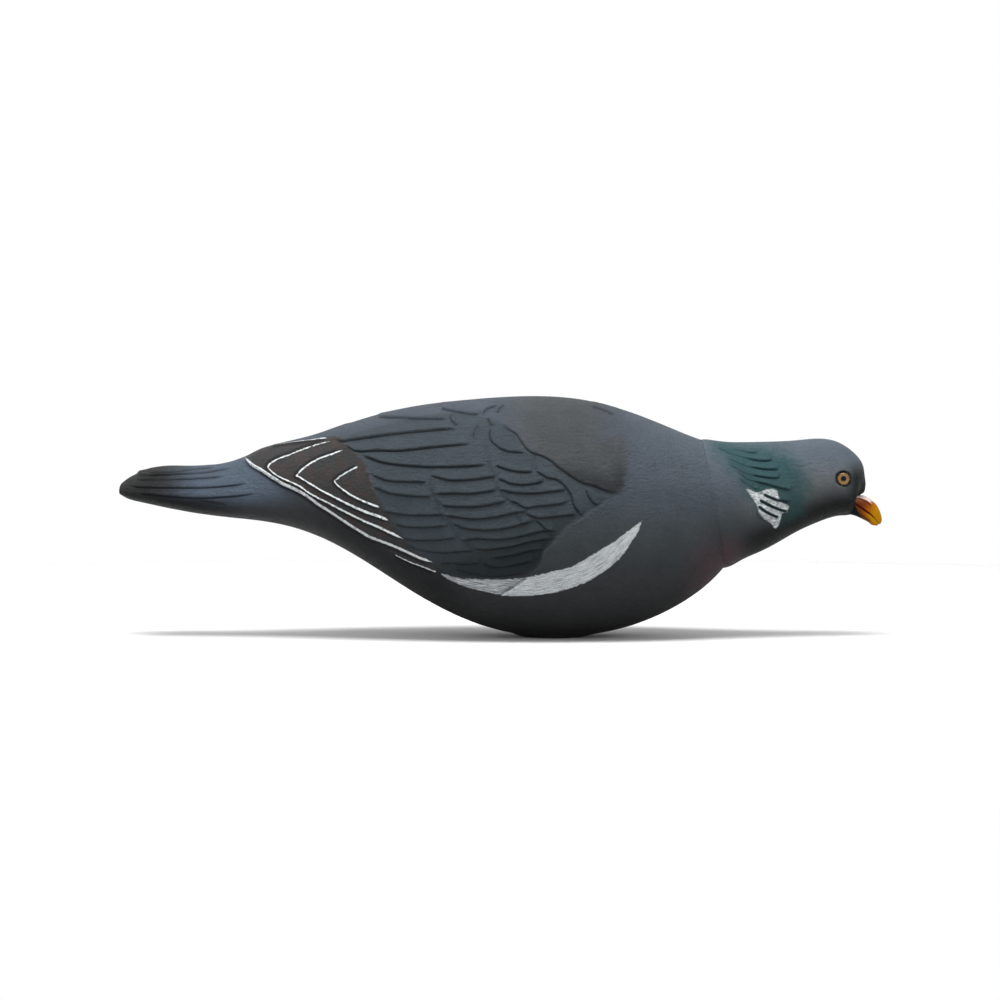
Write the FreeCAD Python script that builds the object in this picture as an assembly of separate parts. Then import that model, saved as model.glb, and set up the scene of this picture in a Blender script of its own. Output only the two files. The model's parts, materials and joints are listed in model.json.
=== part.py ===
import FreeCAD, Part

import math
import os

# A full-body wood pigeon decoy in the feeding pose, in millimetres.
# +X runs towards the beak and +Z is up. The bird is symmetric about the plane y = 0.
# The origin is the centre of the stake bore's mouth, on the flat pad under the belly.
# The body and the head are hollow mouldings, each in a left and a right half.
# The whole bird turns on a bush that sits on the ground stake, and the head turns on a neck spigot.

V = FreeCAD.Vector
UP = V(0, 0, 1)
ACROSS = V(0, 1, 0)
HUGE = 600.0

# Driving dimensions
WALL = 2.4
SECTION_POINTS = 28
STAKE_DIAMETER = 8.0
STAKE_BORE_R = STAKE_DIAMETER / 2 + 0.1
STAKE_BORE_DEPTH = 48.0
SEAM_GAP = 0.3

# Outlines of the body in the plane of symmetry, from the tail tip to the neck, as (x, z)
BACK = [
    (-229.8, 80.6), (-226, 83.8), (-219, 86.8), (-211, 89.2), (-190, 89.9), (-175, 91.2), (-163, 95),
    (-150, 100.4), (-130, 105.6), (-105, 113.6), (-80, 120.4), (-50, 124.6), (-20, 126.8), (0, 126.7),
    (20, 124.4), (40, 118.9), (60, 111.2), (72, 106.2), (78.6, 103.9),
]
BELLY = [
    (-229.8, 75.4), (-226, 72.8), (-215, 70.2), (-195, 66.2), (-180, 63.8), (-150, 60.3), (-130, 55.2),
    (-105, 43), (-85, 30.5), (-65, 17.6), (-45, 8.3), (-25, 1.9), (-5, -0.2), (15, 0.1), (35, 3.5),
    (55, 10.3), (70, 18.4), (82, 27.2), (90.3, 35.8),
]
# Half width of the body, as (x, half width)
FLANK = [
    (-229.8, 17), (-226, 20.5), (-215, 24), (-200, 25), (-180, 24.6), (-165, 26), (-150, 30.5),
    (-130, 38), (-105, 46.5), (-80, 53.5), (-50, 59.5), (-20, 62), (5, 61.5), (28, 58.5), (48, 53),
    (62, 47), (74, 40), (84.45, 34.55),
]
# How high the widest line runs, as a share of the section's height, and how square the section is
# above and below it, where 2 is an ellipse
WAIST = [(-230, 0.36), (-170, 0.38), (-120, 0.5), (0, 0.54), (60, 0.52), (84, 0.5)]
UPPER_SQUARENESS = [(-230, 1.85), (-165, 1.8), (-110, 2.0), (84, 2.0)]
LOWER_SQUARENESS = [(-230, 2.7), (-165, 2.5), (-110, 2.15), (0, 2.1), (84, 2.0)]

# Sections of the body, as (x on the back, x on the belly)
BODY_STATIONS = [
    (-229.8, -229.8), (-226, -226), (-218, -218), (-206, -206), (-188, -188), (-170, -170),
    (-152, -152), (-130, -130), (-104, -104), (-76, -76), (-46, -46), (-14, -14), (16, 18),
    (41, 46), (60, 68), (71, 81), (78.6, 90.3),
]
CAVITY_TAIL_X = -218.0

# Sections of the head, as (point on the crown, point on the throat, half width)
HEAD_STATIONS = [
    ((88, 103.2), (99, 39.5), 31.2),
    ((102, 102.6), (110.5, 44.8), 27.4),
    ((116, 102.9), (121, 50.4), 24.3),
    ((129, 103.6), (131, 56), 21.6),
    ((140, 104.5), (141, 60.4), 19.9),
    ((149, 103.4), (149, 63.1), 18.8),
    ((155.5, 100.2), (155, 64), 17.4),
    ((160, 96.6), (158.3, 65), 15.0),
    ((163.2, 92.9), (159.6, 69), 12.0),
    ((165.1, 89.2), (161, 74), 8.4),
    ((166, 86), (164.5, 78), 4.4),
]
FOREHEAD = (166.4, 82.3)
HEAD_CAVITY_SECTIONS = 9

# Sections of the whole beak, as (point on the upper edge, point on the lower edge, half width)
BEAK_STATIONS = [
    ((153.5, 73.4), (152.5, 65.6), 3.2),
    ((158.3, 73.6), (156.8, 64.5), 3.6),
    ((163, 74.5), (160.4, 63.5), 3.9),
    ((167, 73.2), (163.6, 62.3), 3.8),
    ((170.4, 70.5), (166.4, 60.6), 3.4),
    ((173, 67), (168.8, 59), 3.0),
    ((174.4, 63), (170.8, 58.2), 2.3),
    ((174.3, 60.4), (172.6, 58.4), 1.1),
]
# The line between the mandibles, from inside the head to past the tip, as (x, z)
MOUTH = [(150, 71.2), (159.5, 71), (162, 68.7), (165, 66.5), (168, 64.5), (170, 62.6), (172, 60.4), (173, 57)]
MOUTH_GAP = 0.25
BEAK_FLANGE = (6.0, 151.5, 155.5, 66.8, 73.0)

# Eye
EYE_X, EYE_Z = 152.6, 83.7
EYE_R = 4.0
EYE_FACE_Y = 17.2
EYE_DISC_THICKNESS = 1.6
EYE_DOME_HEIGHT = 1.9
EYE_STEM_R, EYE_STEM_LENGTH = 1.2, 7.0

# Neck joint, worked out from the ends of the body's outlines
NECK_TOP = V(BACK[-1][0], 0, BACK[-1][1])
NECK_BOTTOM = V(BELLY[-1][0], 0, BELLY[-1][1])
NECK_CENTRE = (NECK_TOP + NECK_BOTTOM) * 0.5
NECK_R = (NECK_TOP - NECK_BOTTOM).Length / 2
NECK_UP = (NECK_TOP - NECK_BOTTOM).normalize()
NECK_AXIS = ACROSS.cross(NECK_UP)
BULKHEAD = 3.0
COLLAR_BORE_R = 16.05
COLLAR_HUB_R = 20.0
COLLAR_FLANGE_R = 24.0
COLLAR_LENGTH = 6.0
COLLAR_LIP_R, COLLAR_LIP = 22.5, 1.2
SPIGOT_R = COLLAR_BORE_R - 0.05
SPIGOT_LENGTH = 8.0
SPIGOT_PLATE_R = 27.0
SPIGOT_PLATE = 3.0
NECK_LEDGE = 2.4
NECK_LEDGE_R = 19.0
FRICTION_RING = 1.9
WASHER_R, WASHER = 21.0, 2.0
NECK_SCREW_R, NECK_SCREW_HEAD_R, NECK_SCREW_HEAD = 2.1, 4.6, 3.0
PLATE_SCREWS, PLATE_SCREW_CIRCLE_R = 4, 23.0
HEAD_TURN = 40.0
STOP_PIN_R, STOP_PIN_CIRCLE_R, STOP_PIN_REACH = 1.4, 18.2, 1.8

# Stake socket, around the Z axis
PAD_R = 19.5
PLATE_R, PLATE = 17.0, 2.0
PLATE_HOLE_R = 6.9
LEDGE = 2.6
HOUSING_SPIGOT_R = 12.0
HOUSING_FLANGE_R, HOUSING_FLANGE = 18.5, 3.0
HOUSING_TUBE_R = 11.0
HOUSING_HEIGHT = 68.0
HOUSING_ROOF = 3.4
WEB, WEB_FOOT, WEB_TOP = 2.2, 14.0, 56.0
BUSH_R = 8.15
BUSH_FLANGE_R, BUSH_FLANGE = 9.8, 2.0
BUSH_BOSS_R = 6.5
RUNNING_CLEARANCE = 0.05
SIDE_CLEARANCE = 0.3
THRUST_WASHER_R, THRUST_WASHER = 7.6, 1.5
THRUST_GAP = 0.1
SMALL_SCREW_R, SMALL_SCREW_HEAD_R, SMALL_SCREW_HEAD = 1.4, 2.6, 1.3
BELLY_SCREWS, BELLY_SCREW_CIRCLE_R = 4, 14.4
BELLY_SCREW_LENGTH = 7.0

# Pegs that line the halves up, by their x along the back and the belly, or as (x, z) in the head
BACK_PEGS = (-196, -128, -62, 34)
BELLY_PEGS = (-84, 52)
HEAD_PEGS = [(101, 98.2), (138, 99.8), (128, 59)]
PEG_R, PEG_LENGTH, PEG_LUG_R, PEG_LUG = 1.6, 4.0, 3.6, 6.0
PEG_DEPTH = 4.6


def smooth(points, x):
    """The height at x of a smooth curve through the points, which are in order of x."""
    last = len(points) - 1
    x = min(max(x, points[0][0]), points[last][0])
    i = next(k for k in range(last) if x <= points[k + 1][0])
    (x0, y0), (x1, y1) = points[i], points[i + 1]
    span = x1 - x0

    def slope(k):
        a, b = points[max(k - 1, 0)], points[min(k + 1, last)]
        return (b[1] - a[1]) / (b[0] - a[0])

    t = (x - x0) / span
    rise = (2 * t**3 - 3 * t**2 + 1) * y0 + (3 * t**2 - 2 * t**3) * y1
    return rise + span * ((t**3 - 2 * t**2 + t) * slope(i) + (t**3 - t**2) * slope(i + 1))


def rounded(angle, squareness):
    """Cosine and sine of a superellipse with that squareness."""
    c, s = math.cos(angle), math.sin(angle)
    power = 2 / squareness
    return math.copysign(abs(c) ** power, c), math.copysign(abs(s) ** power, s)


def section(top, bottom, half_width, waist=0.5, upper=2.0, lower=2.0):
    """A closed outline standing on the plane of symmetry, from the bottom point to the top point."""
    height = top - bottom
    points = []
    for i in range(SECTION_POINTS):
        angle = 2 * math.pi * i / SECTION_POINTS
        side, rise = rounded(angle, upper if math.sin(angle) >= 0 else lower)
        share = waist + rise * (1 - waist if rise >= 0 else waist)
        points.append(bottom + height * share + ACROSS * (side * half_width))
    outline = Part.BSplineCurve()
    outline.interpolate(Points=points, PeriodicFlag=True)
    return Part.Wire(outline.toShape())


def body_section(x_back, x_belly, inset=0.0):
    top = V(x_back, 0, smooth(BACK, x_back))
    bottom = V(x_belly, 0, smooth(BELLY, x_belly))
    step = (top - bottom).normalize() * inset
    x = (x_back + x_belly) / 2
    shape = smooth(WAIST, x), smooth(UPPER_SQUARENESS, x), smooth(LOWER_SQUARENESS, x)
    return section(top - step, bottom + step, smooth(FLANK, x) - inset, *shape)


def plain_section(top, bottom, half_width, inset=0.0):
    """A section of the head or beak, from (x, z) points."""
    a, b = V(top[0], 0, top[1]), V(bottom[0], 0, bottom[1])
    step = (a - b).normalize() * inset
    return section(a - step, b + step, half_width - inset)


def neck_section(offset, inset=0.0):
    """The round section of the neck, that far along its axis."""
    centre = NECK_CENTRE + NECK_AXIS * offset
    reach = NECK_UP * (NECK_R - inset)
    return section(centre + reach, centre - reach, NECK_R - inset)


def tip(point):
    return Part.Vertex(point[0], 0, point[1])


def loft(profiles):
    return Part.makeLoft(profiles, True, False)


def body_blank():
    return loft([body_section(*s) for s in BODY_STATIONS])


def body_cavity():
    """The hollow of the body, from the tail to the bulkhead behind the neck."""
    inner = [body_section(*s, inset=WALL) for s in BODY_STATIONS[:-1] if s[0] > CAVITY_TAIL_X]
    tail_end = body_section(CAVITY_TAIL_X, CAVITY_TAIL_X, inset=2 * WALL)
    return loft([tail_end] + inner + [neck_section(-BULKHEAD, inset=WALL)])


def head_blank():
    return loft([neck_section(SEAM_GAP)] + [plain_section(*s) for s in HEAD_STATIONS] + [tip(FOREHEAD)])


def head_cavity():
    inner = [plain_section(*s, inset=WALL) for s in HEAD_STATIONS[:HEAD_CAVITY_SECTIONS]]
    return loft([neck_section(SEAM_GAP - 0.5, inset=WALL)] + inner)


def neck_cylinder(radius, start, end):
    """A cylinder on the neck axis between two distances from the neck's centre."""
    return Part.makeCylinder(radius, end - start, NECK_CENTRE + NECK_AXIS * start, NECK_AXIS)


def upright(radius, start, end, x=0.0, y=0.0):
    return Part.makeCylinder(radius, end - start, V(x, y, start), UP)


def circle_angles(count):
    """Angles spaced evenly round a circle, half a step clear of the seam."""
    return [360 * (i + 0.5) / count for i in range(count)]


def belly_screw_points():
    radius = BELLY_SCREW_CIRCLE_R
    angles = [math.radians(a) for a in circle_angles(BELLY_SCREWS)]
    return [V(radius * math.cos(a), radius * math.sin(a), 0) for a in angles]


def neck_point(radius, degrees, offset=0.0):
    """A point round the neck axis: 0 degrees is straight up, and the offset is along the axis."""
    a = math.radians(degrees)
    return NECK_CENTRE + NECK_AXIS * offset + (NECK_UP * math.cos(a) + ACROSS * math.sin(a)) * radius


def plate_screw_points():
    return [neck_point(PLATE_SCREW_CIRCLE_R, a, SEAM_GAP) for a in circle_angles(PLATE_SCREWS)]


def side_box(sign):
    """Everything on one side of the plane of symmetry: +1 is the left side."""
    return Part.makeBox(HUGE, HUGE, HUGE, V(-HUGE / 2, 0 if sign > 0 else -HUGE, -HUGE / 2))


def peg_cylinder(x, z, radius, start, end):
    return Part.makeCylinder(radius, end - start, V(x, start, z), ACROSS)


def fused(shape, additions):
    for addition in additions:
        shape = shape.fuse(addition)
    return shape


def without(shape, cutters):
    for cutter in cutters:
        shape = shape.cut(cutter)
    return shape


def body_pegs():
    back = [(x, smooth(BACK, x) - PEG_DEPTH) for x in BACK_PEGS]
    return back + [(x, smooth(BELLY, x) + PEG_DEPTH) for x in BELLY_PEGS]


def lugs(pegs, blank):
    """The lugs behind the pegs, across both sides of the seam."""
    return [peg_cylinder(x, z, PEG_LUG_R, -PEG_LUG, PEG_LUG).common(blank) for x, z in pegs]


def split(whole, pegs):
    """The left and right halves of a shell, with pegs on the right and holes for them on the left."""
    holes = [peg_cylinder(x, z, PEG_R + 0.1, 0, PEG_LENGTH + 0.4) for x, z in pegs]
    solid_pegs = [peg_cylinder(x, z, PEG_R, -1, PEG_LENGTH) for x, z in pegs]
    left = without(whole.common(side_box(1)), holes)
    right = fused(whole.common(side_box(-1)), solid_pegs)
    return {"left": left, "right": right}


def body_shells():
    blank = body_blank()
    cavity = body_cavity()
    foot = PLATE + LEDGE
    below = Part.makeBox(HUGE, HUGE, HUGE, V(-HUGE / 2, -HUGE / 2, -HUGE))
    shell = blank.cut(cavity).cut(below).fuse(upright(PAD_R, 0, foot))
    shell = shell.cut(upright(PAD_R + 2, foot, HOUSING_HEIGHT)).fuse(cross_webs(cavity))
    shell = fused(shell, lugs(body_pegs(), blank))
    holes = [upright(PLATE_R + 0.1, -1, PLATE), upright(HOUSING_SPIGOT_R, 0, foot)]
    holes += [upright(SMALL_SCREW_R + 0.2, 0, foot + 1, p.x, p.y) for p in belly_screw_points()]
    holes.append(neck_cylinder(COLLAR_HUB_R, -2 * BULKHEAD, 1))
    holes.append(neck_cylinder(COLLAR_LIP_R, -COLLAR_LIP, 1))
    return split(without(shell, holes), body_pegs())


def cross_webs(cavity):
    """Two upright webs that hold the stake housing from the sides."""
    plate = Part.makeBox(WEB, HUGE, WEB_TOP - WEB_FOOT, V(-WEB / 2, -HUGE / 2, WEB_FOOT))
    return plate.common(cavity).cut(upright(HOUSING_TUBE_R + RUNNING_CLEARANCE, 0, HOUSING_HEIGHT))


def head_shells(blank, cavity, beak):
    start = SEAM_GAP + SPIGOT_PLATE
    end = start + NECK_LEDGE
    ledge = neck_cylinder(NECK_R + 2, start, end).common(blank)
    ledge = ledge.cut(neck_cylinder(NECK_LEDGE_R, start - 1, end + 1))
    sockets = [eye_socket(sign).common(blank) for sign in (1, -1)]
    shell = fused(blank.cut(cavity), [ledge] + sockets + lugs(HEAD_PEGS, blank))
    holes = [beak] + [eye_pocket(sign) for sign in (1, -1)]
    for point in plate_screw_points():
        reach = SPIGOT_PLATE + NECK_LEDGE + 1
        holes.append(Part.makeCylinder(SMALL_SCREW_R + RUNNING_CLEARANCE, reach, point, NECK_AXIS))
    return split(without(shell, holes), HEAD_PEGS)


def eye_cylinder(sign, radius, depth, face=EYE_FACE_Y):
    """A cylinder on the eye's axis, that deep behind the face."""
    return Part.makeCylinder(radius, depth, V(EYE_X, sign * face, EYE_Z), ACROSS * -sign)


def eye_socket(sign):
    return eye_cylinder(sign, EYE_R + 1.2, EYE_DISC_THICKNESS + EYE_STEM_LENGTH)


def eye_pocket(sign):
    disc = eye_cylinder(sign, EYE_R, EYE_DISC_THICKNESS)
    mouth = Part.makeCylinder(EYE_R, 12, V(EYE_X, sign * EYE_FACE_Y, EYE_Z), ACROSS * sign)
    return mouth.fuse(disc).fuse(eye_cylinder(sign, EYE_STEM_R, EYE_DISC_THICKNESS + EYE_STEM_LENGTH + 1))


def eye_disc(sign):
    """The painted iris disc, with the stem that holds it in the socket."""
    disc = eye_cylinder(sign, EYE_R, EYE_DISC_THICKNESS)
    return disc.fuse(eye_cylinder(sign, EYE_STEM_R, EYE_DISC_THICKNESS + EYE_STEM_LENGTH)).removeSplitter()


def eye_lens(sign):
    """The clear dome over the iris, a cap of a sphere."""
    radius = (EYE_R**2 + EYE_DOME_HEIGHT**2) / (2 * EYE_DOME_HEIGHT)
    centre_y = EYE_FACE_Y + EYE_DOME_HEIGHT - radius
    ball = Part.makeSphere(radius, V(EYE_X, sign * centre_y, EYE_Z))
    low = EYE_FACE_Y if sign > 0 else -EYE_FACE_Y - 10
    return ball.common(Part.makeBox(30, 10, 30, V(EYE_X - 15, low, EYE_Z - 15)))


def beak_blank():
    """The whole beak, with the flange inside the head that keeps it from being pulled out."""
    half_width, x0, x1, z0, z1 = BEAK_FLANGE
    flange = Part.makeBox(x1 - x0, 2 * half_width, z1 - z0, V(x0, -half_width, z0))
    return loft([plain_section(*s) for s in BEAK_STATIONS]).fuse(flange)


def below_mouth(drop):
    """Everything below the mouth line, lowered by the drop."""
    line = [V(x - drop, -HUGE / 2, z - drop) for x, z in MOUTH]
    corners = line + [V(line[-1].x, -HUGE / 2, 0), V(line[0].x, -HUGE / 2, 0), line[0]]
    return Part.Face(Part.makePolygon(corners)).extrude(ACROSS * HUGE)


def mandibles():
    blank = beak_blank()
    upper = blank.cut(below_mouth(0)).removeSplitter()
    lower = blank.common(below_mouth(MOUTH_GAP)).removeSplitter()
    return blank, upper, lower


def neck_collar():
    """The bearing ring that the two body halves close round."""
    ring = neck_cylinder(COLLAR_HUB_R, -COLLAR_LENGTH, 0)
    ring = ring.fuse(neck_cylinder(COLLAR_FLANGE_R, -COLLAR_LENGTH, -BULKHEAD))
    ring = ring.fuse(neck_cylinder(COLLAR_LIP_R, -COLLAR_LIP, 0))
    ring = ring.cut(neck_cylinder(COLLAR_BORE_R, -COLLAR_LENGTH - 1, 1))
    pin_hole = Part.makeCylinder(STOP_PIN_R, COLLAR_LENGTH, stop_pin_foot(), NECK_AXIS)
    return ring.cut(pin_hole).removeSplitter()


def friction_ring():
    """The rubber ring that keeps the head where it is put."""
    ring = neck_cylinder(COLLAR_HUB_R, -COLLAR_LENGTH - FRICTION_RING, -COLLAR_LENGTH)
    return ring.cut(neck_cylinder(SPIGOT_R + 0.8, -COLLAR_LENGTH - 5, 0))


def neck_spigot():
    """The plate inside the neck and the tube that turns in the collar."""
    plate = neck_cylinder(SPIGOT_PLATE_R, SEAM_GAP, SEAM_GAP + SPIGOT_PLATE)
    tube = neck_cylinder(SPIGOT_R, -SPIGOT_LENGTH, SEAM_GAP)
    hollow = neck_cylinder(SPIGOT_R - 3, -SPIGOT_LENGTH + 3, SEAM_GAP + SPIGOT_PLATE)
    boss = neck_cylinder(5, -SPIGOT_LENGTH, SEAM_GAP + SPIGOT_PLATE)
    spigot = plate.fuse(tube).cut(hollow).fuse(boss)
    spigot = spigot.cut(neck_cylinder(NECK_SCREW_R, -2 * SPIGOT_LENGTH, SPIGOT_LENGTH))
    for point in plate_screw_points():
        spigot = spigot.cut(screw_along(point, NECK_AXIS, 2 * SPIGOT_PLATE, RUNNING_CLEARANCE))
    return spigot.cut(stop_groove()).removeSplitter()


def stop_groove():
    """The curved groove in the spigot's plate, whose ends stop the head against the stop pin."""
    play = math.degrees((STOP_PIN_R + SEAM_GAP) / STOP_PIN_CIRCLE_R)
    end = HEAD_TURN + play
    outer, inner = (STOP_PIN_CIRCLE_R + side * (STOP_PIN_R + SEAM_GAP) for side in (1, -1))
    outer_arc = Part.Arc(*(neck_point(outer, a) for a in (-end, 0, end))).toShape()
    inner_arc = Part.Arc(*(neck_point(inner, a) for a in (end, 0, -end))).toShape()
    sides = [Part.LineSegment(neck_point(outer, a), neck_point(inner, a)).toShape() for a in (end, -end)]
    wire = Part.Wire(Part.__sortEdges__([outer_arc, inner_arc] + sides))
    return Part.Face(wire).extrude(NECK_AXIS * (STOP_PIN_REACH + SEAM_GAP))


def stop_pin():
    """The pin in the collar that runs in the spigot's groove and limits how far the head turns."""
    return Part.makeCylinder(STOP_PIN_R, COLLAR_LENGTH / 2 + STOP_PIN_REACH, stop_pin_foot(), NECK_AXIS)


def stop_pin_foot():
    return neck_point(STOP_PIN_CIRCLE_R, 0, -COLLAR_LENGTH / 2)


def spigot_washer():
    start = -SPIGOT_LENGTH - WASHER
    washer = neck_cylinder(WASHER_R, start, -SPIGOT_LENGTH)
    return washer.cut(neck_cylinder(NECK_SCREW_R, start - 1, 0))


def spigot_screw():
    """The pan-head screw that holds the washer on the end of the spigot."""
    head_start = -SPIGOT_LENGTH - WASHER - NECK_SCREW_HEAD
    head = neck_cylinder(NECK_SCREW_HEAD_R, head_start, head_start + NECK_SCREW_HEAD)
    slot = neck_cylinder(NECK_SCREW_HEAD_R / 2, head_start - 1, head_start + NECK_SCREW_HEAD / 2)
    shank = neck_cylinder(NECK_SCREW_R - RUNNING_CLEARANCE, head_start, SEAM_GAP + SPIGOT_PLATE - 1)
    return head.fuse(shank).cut(slot).removeSplitter()


def screw_along(point, axis, length, clear=0.0):
    """A countersunk screw whose head is flush at the point."""
    head = Part.makeCone(SMALL_SCREW_HEAD_R + clear, SMALL_SCREW_R + clear, SMALL_SCREW_HEAD, point, axis)
    return head.fuse(Part.makeCylinder(SMALL_SCREW_R + clear, length, point, axis))


def screws(points, axis, length):
    """Separate countersunk screws in one group, each with a slot."""
    made = []
    for point in points:
        slot = Part.makeCylinder(SMALL_SCREW_HEAD_R / 2, SMALL_SCREW_HEAD / 2, point, axis)
        made.append(screw_along(point, axis, length).cut(slot).removeSplitter())
    return Part.makeCompound(made)


def plate_screws():
    return screws(plate_screw_points(), NECK_AXIS, SPIGOT_PLATE + NECK_LEDGE - SEAM_GAP)


def belly_plate():
    """The round plate under the belly, which keeps the bush in and clamps the halves to the housing."""
    plate = upright(PLATE_R, 0, PLATE).cut(upright(PLATE_HOLE_R, -1, PLATE + 1))
    rim = [e for e in plate.Edges if abs(e.BoundBox.ZMax) < 0.01 and e.BoundBox.XMax > PLATE_R - 1]
    plate = plate.makeChamfer(0.6, rim)
    for point in belly_screw_points():
        plate = plate.cut(screw_along(point, UP, 2 * PLATE, RUNNING_CLEARANCE))
    return plate


def stake_housing():
    """The closed tube that the bush turns in."""
    foot = PLATE + LEDGE
    housing = upright(HOUSING_SPIGOT_R, PLATE, foot)
    housing = housing.fuse(upright(HOUSING_FLANGE_R, foot, foot + HOUSING_FLANGE))
    housing = housing.fuse(upright(HOUSING_TUBE_R, foot, HOUSING_HEIGHT))
    housing = housing.cut(upright(BUSH_FLANGE_R + 0.4, 0, foot))
    housing = housing.cut(upright(BUSH_R + RUNNING_CLEARANCE, 0, HOUSING_HEIGHT - HOUSING_ROOF))
    for point in belly_screw_points():
        hole = upright(SMALL_SCREW_R + RUNNING_CLEARANCE, foot - 1, BELLY_SCREW_LENGTH + 1, point.x, point.y)
        housing = housing.cut(hole)
    return housing.removeSplitter()


def thrust_washer():
    """The low-friction disc that the bird's weight rests on."""
    top = HOUSING_HEIGHT - HOUSING_ROOF
    return upright(THRUST_WASHER_R, top - THRUST_WASHER, top)


def swivel_bush():
    """The long bush that is pushed on to the stake. The bird turns round it."""
    flange_start = PLATE + SIDE_CLEARANCE
    top = HOUSING_HEIGHT - HOUSING_ROOF - THRUST_WASHER - THRUST_GAP
    bush = upright(BUSH_BOSS_R, 0, flange_start)
    bush = bush.fuse(upright(BUSH_FLANGE_R, flange_start, flange_start + BUSH_FLANGE))
    bush = bush.fuse(upright(BUSH_R, flange_start + BUSH_FLANGE, top))
    return bush.cut(upright(STAKE_BORE_R, -1, STAKE_BORE_DEPTH)).removeSplitter()


def pieces():
    """Every piece of the decoy, by the name of its node."""
    head_outside, head_inside = head_blank(), head_cavity()
    beak, upper, lower = mandibles()
    body = body_shells()
    head = head_shells(head_outside, head_inside, beak)
    made = {
        "left_body_shell": body["left"],
        "right_body_shell": body["right"],
        "left_head_shell": head["left"],
        "right_head_shell": head["right"],
        "upper_beak": upper,
        "lower_beak": lower,
        "neck_collar": neck_collar(),
        "stop_pin": stop_pin(),
        "friction_ring": friction_ring(),
        "neck_spigot": neck_spigot(),
        "spigot_plate_screws": plate_screws(),
        "spigot_washer": spigot_washer(),
        "spigot_screw": spigot_screw(),
        "stake_housing": stake_housing(),
        "thrust_washer": thrust_washer(),
        "swivel_bush": swivel_bush(),
        "belly_plate": belly_plate(),
        "belly_plate_screws": screws(belly_screw_points(), UP, BELLY_SCREW_LENGTH),
    }
    for side, sign in (("left", 1), ("right", -1)):
        made[f"{side}_eye_disc"] = eye_disc(sign)
        made[f"{side}_eye_lens"] = eye_lens(sign)
    return made


def main():
    os.makedirs("parts", exist_ok=True)
    for name, shape in pieces().items():
        solids = shape.Solids
        if not shape.isValid() or not solids:
            raise SystemExit(f"{name} is not a valid solid")
        shape.exportStep(f"parts/{name}.step")
        volume = sum(s.Volume for s in solids)
        print(f"{name}: {len(solids)} solid(s), {volume / 1000:.2f} cm3")
    axis = ", ".join(f"{c:.5f}" for c in NECK_AXIS)
    centre = ", ".join(f"{c:.3f}" for c in NECK_CENTRE)
    print(f"neck centre ({centre}), axis ({axis}), radius {NECK_R:.2f}")


if __name__ == "__main__":
    main()
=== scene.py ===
import json
import math

import bmesh
import bpy
import numpy as np
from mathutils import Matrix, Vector
from mathutils.bvhtree import BVHTree


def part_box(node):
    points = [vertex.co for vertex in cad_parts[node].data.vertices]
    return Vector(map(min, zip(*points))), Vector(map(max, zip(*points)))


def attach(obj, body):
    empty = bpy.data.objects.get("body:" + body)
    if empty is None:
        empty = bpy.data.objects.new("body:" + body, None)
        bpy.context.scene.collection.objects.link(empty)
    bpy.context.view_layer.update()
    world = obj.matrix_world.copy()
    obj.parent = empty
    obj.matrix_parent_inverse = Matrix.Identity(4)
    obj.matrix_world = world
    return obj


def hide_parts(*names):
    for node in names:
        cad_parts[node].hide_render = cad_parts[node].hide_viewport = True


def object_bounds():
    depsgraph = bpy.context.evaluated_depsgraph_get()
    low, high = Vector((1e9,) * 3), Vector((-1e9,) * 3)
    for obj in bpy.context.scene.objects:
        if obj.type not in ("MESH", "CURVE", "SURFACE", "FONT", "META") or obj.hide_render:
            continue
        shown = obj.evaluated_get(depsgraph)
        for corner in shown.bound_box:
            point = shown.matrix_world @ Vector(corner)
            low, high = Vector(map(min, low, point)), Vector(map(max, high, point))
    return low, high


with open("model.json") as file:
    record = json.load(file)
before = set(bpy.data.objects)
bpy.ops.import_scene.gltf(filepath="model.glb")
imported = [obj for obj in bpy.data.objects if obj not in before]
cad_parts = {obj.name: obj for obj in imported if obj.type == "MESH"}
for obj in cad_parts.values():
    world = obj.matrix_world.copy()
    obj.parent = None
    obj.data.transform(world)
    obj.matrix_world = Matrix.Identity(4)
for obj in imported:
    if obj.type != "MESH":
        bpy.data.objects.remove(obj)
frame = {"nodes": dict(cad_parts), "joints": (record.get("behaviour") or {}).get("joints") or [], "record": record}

# The looks of a painted wood pigeon decoy. Lengths in this script are millimetres, +X is towards the
# beak and +Z is up. Curves on the plumage are drawn in the side view: (x, height) where the sight line
# from the camera meets the plane of symmetry, so they lie on the surface where the side view shows them.

CAD_BOX = [list(corner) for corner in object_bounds()]
MM = 0.001

# The side view that the curves are drawn in, which is also the camera
VIEW_CENTRE = (-27.9, 71.9)
VIEW_WIDTH = 530.0
VIEW_DISTANCE = 2000.0
VIEW_ELEVATION = math.radians(2.0)
SENSOR = 36.0

# Joints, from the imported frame
HEAD_TURN = next(j for j in frame["joints"] if j["name"] == "head_turn")
NECK_CENTRE = np.array(HEAD_TURN["pos_m"]) * 1000
NECK_AXIS = np.array(HEAD_TURN["axis"]) / np.linalg.norm(HEAD_TURN["axis"])
NECK_UP = np.array([-NECK_AXIS[2], 0, NECK_AXIS[0]])
NECK_TILT = math.atan2(NECK_AXIS[2], NECK_AXIS[0])
SIDEWAYS = np.array([0.0, -1.0, 0.0])

# Shells
WALL = 2.3
NECK_R = 34.5
NECK_GAP = 0.06
BULKHEAD = 3.0
BULKHEAD_HOLE_R = 22.6
BELLY_HOLE_R = 17.15
BODY_COLUMNS = 129
HEAD_COLUMNS = 133
COARSE = 4
FIRST_INNER_ROW = 12
# Cells of the outer grids are split once, then once more, within these distances of the drawn lines
SPLIT_REACHES = (1.2, 0.45)
# Rays start this far from a row's centre, and hits nearer to it than this are left out
RAY_REACH, NEAREST_HIT = 150.0, 3.0
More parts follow.
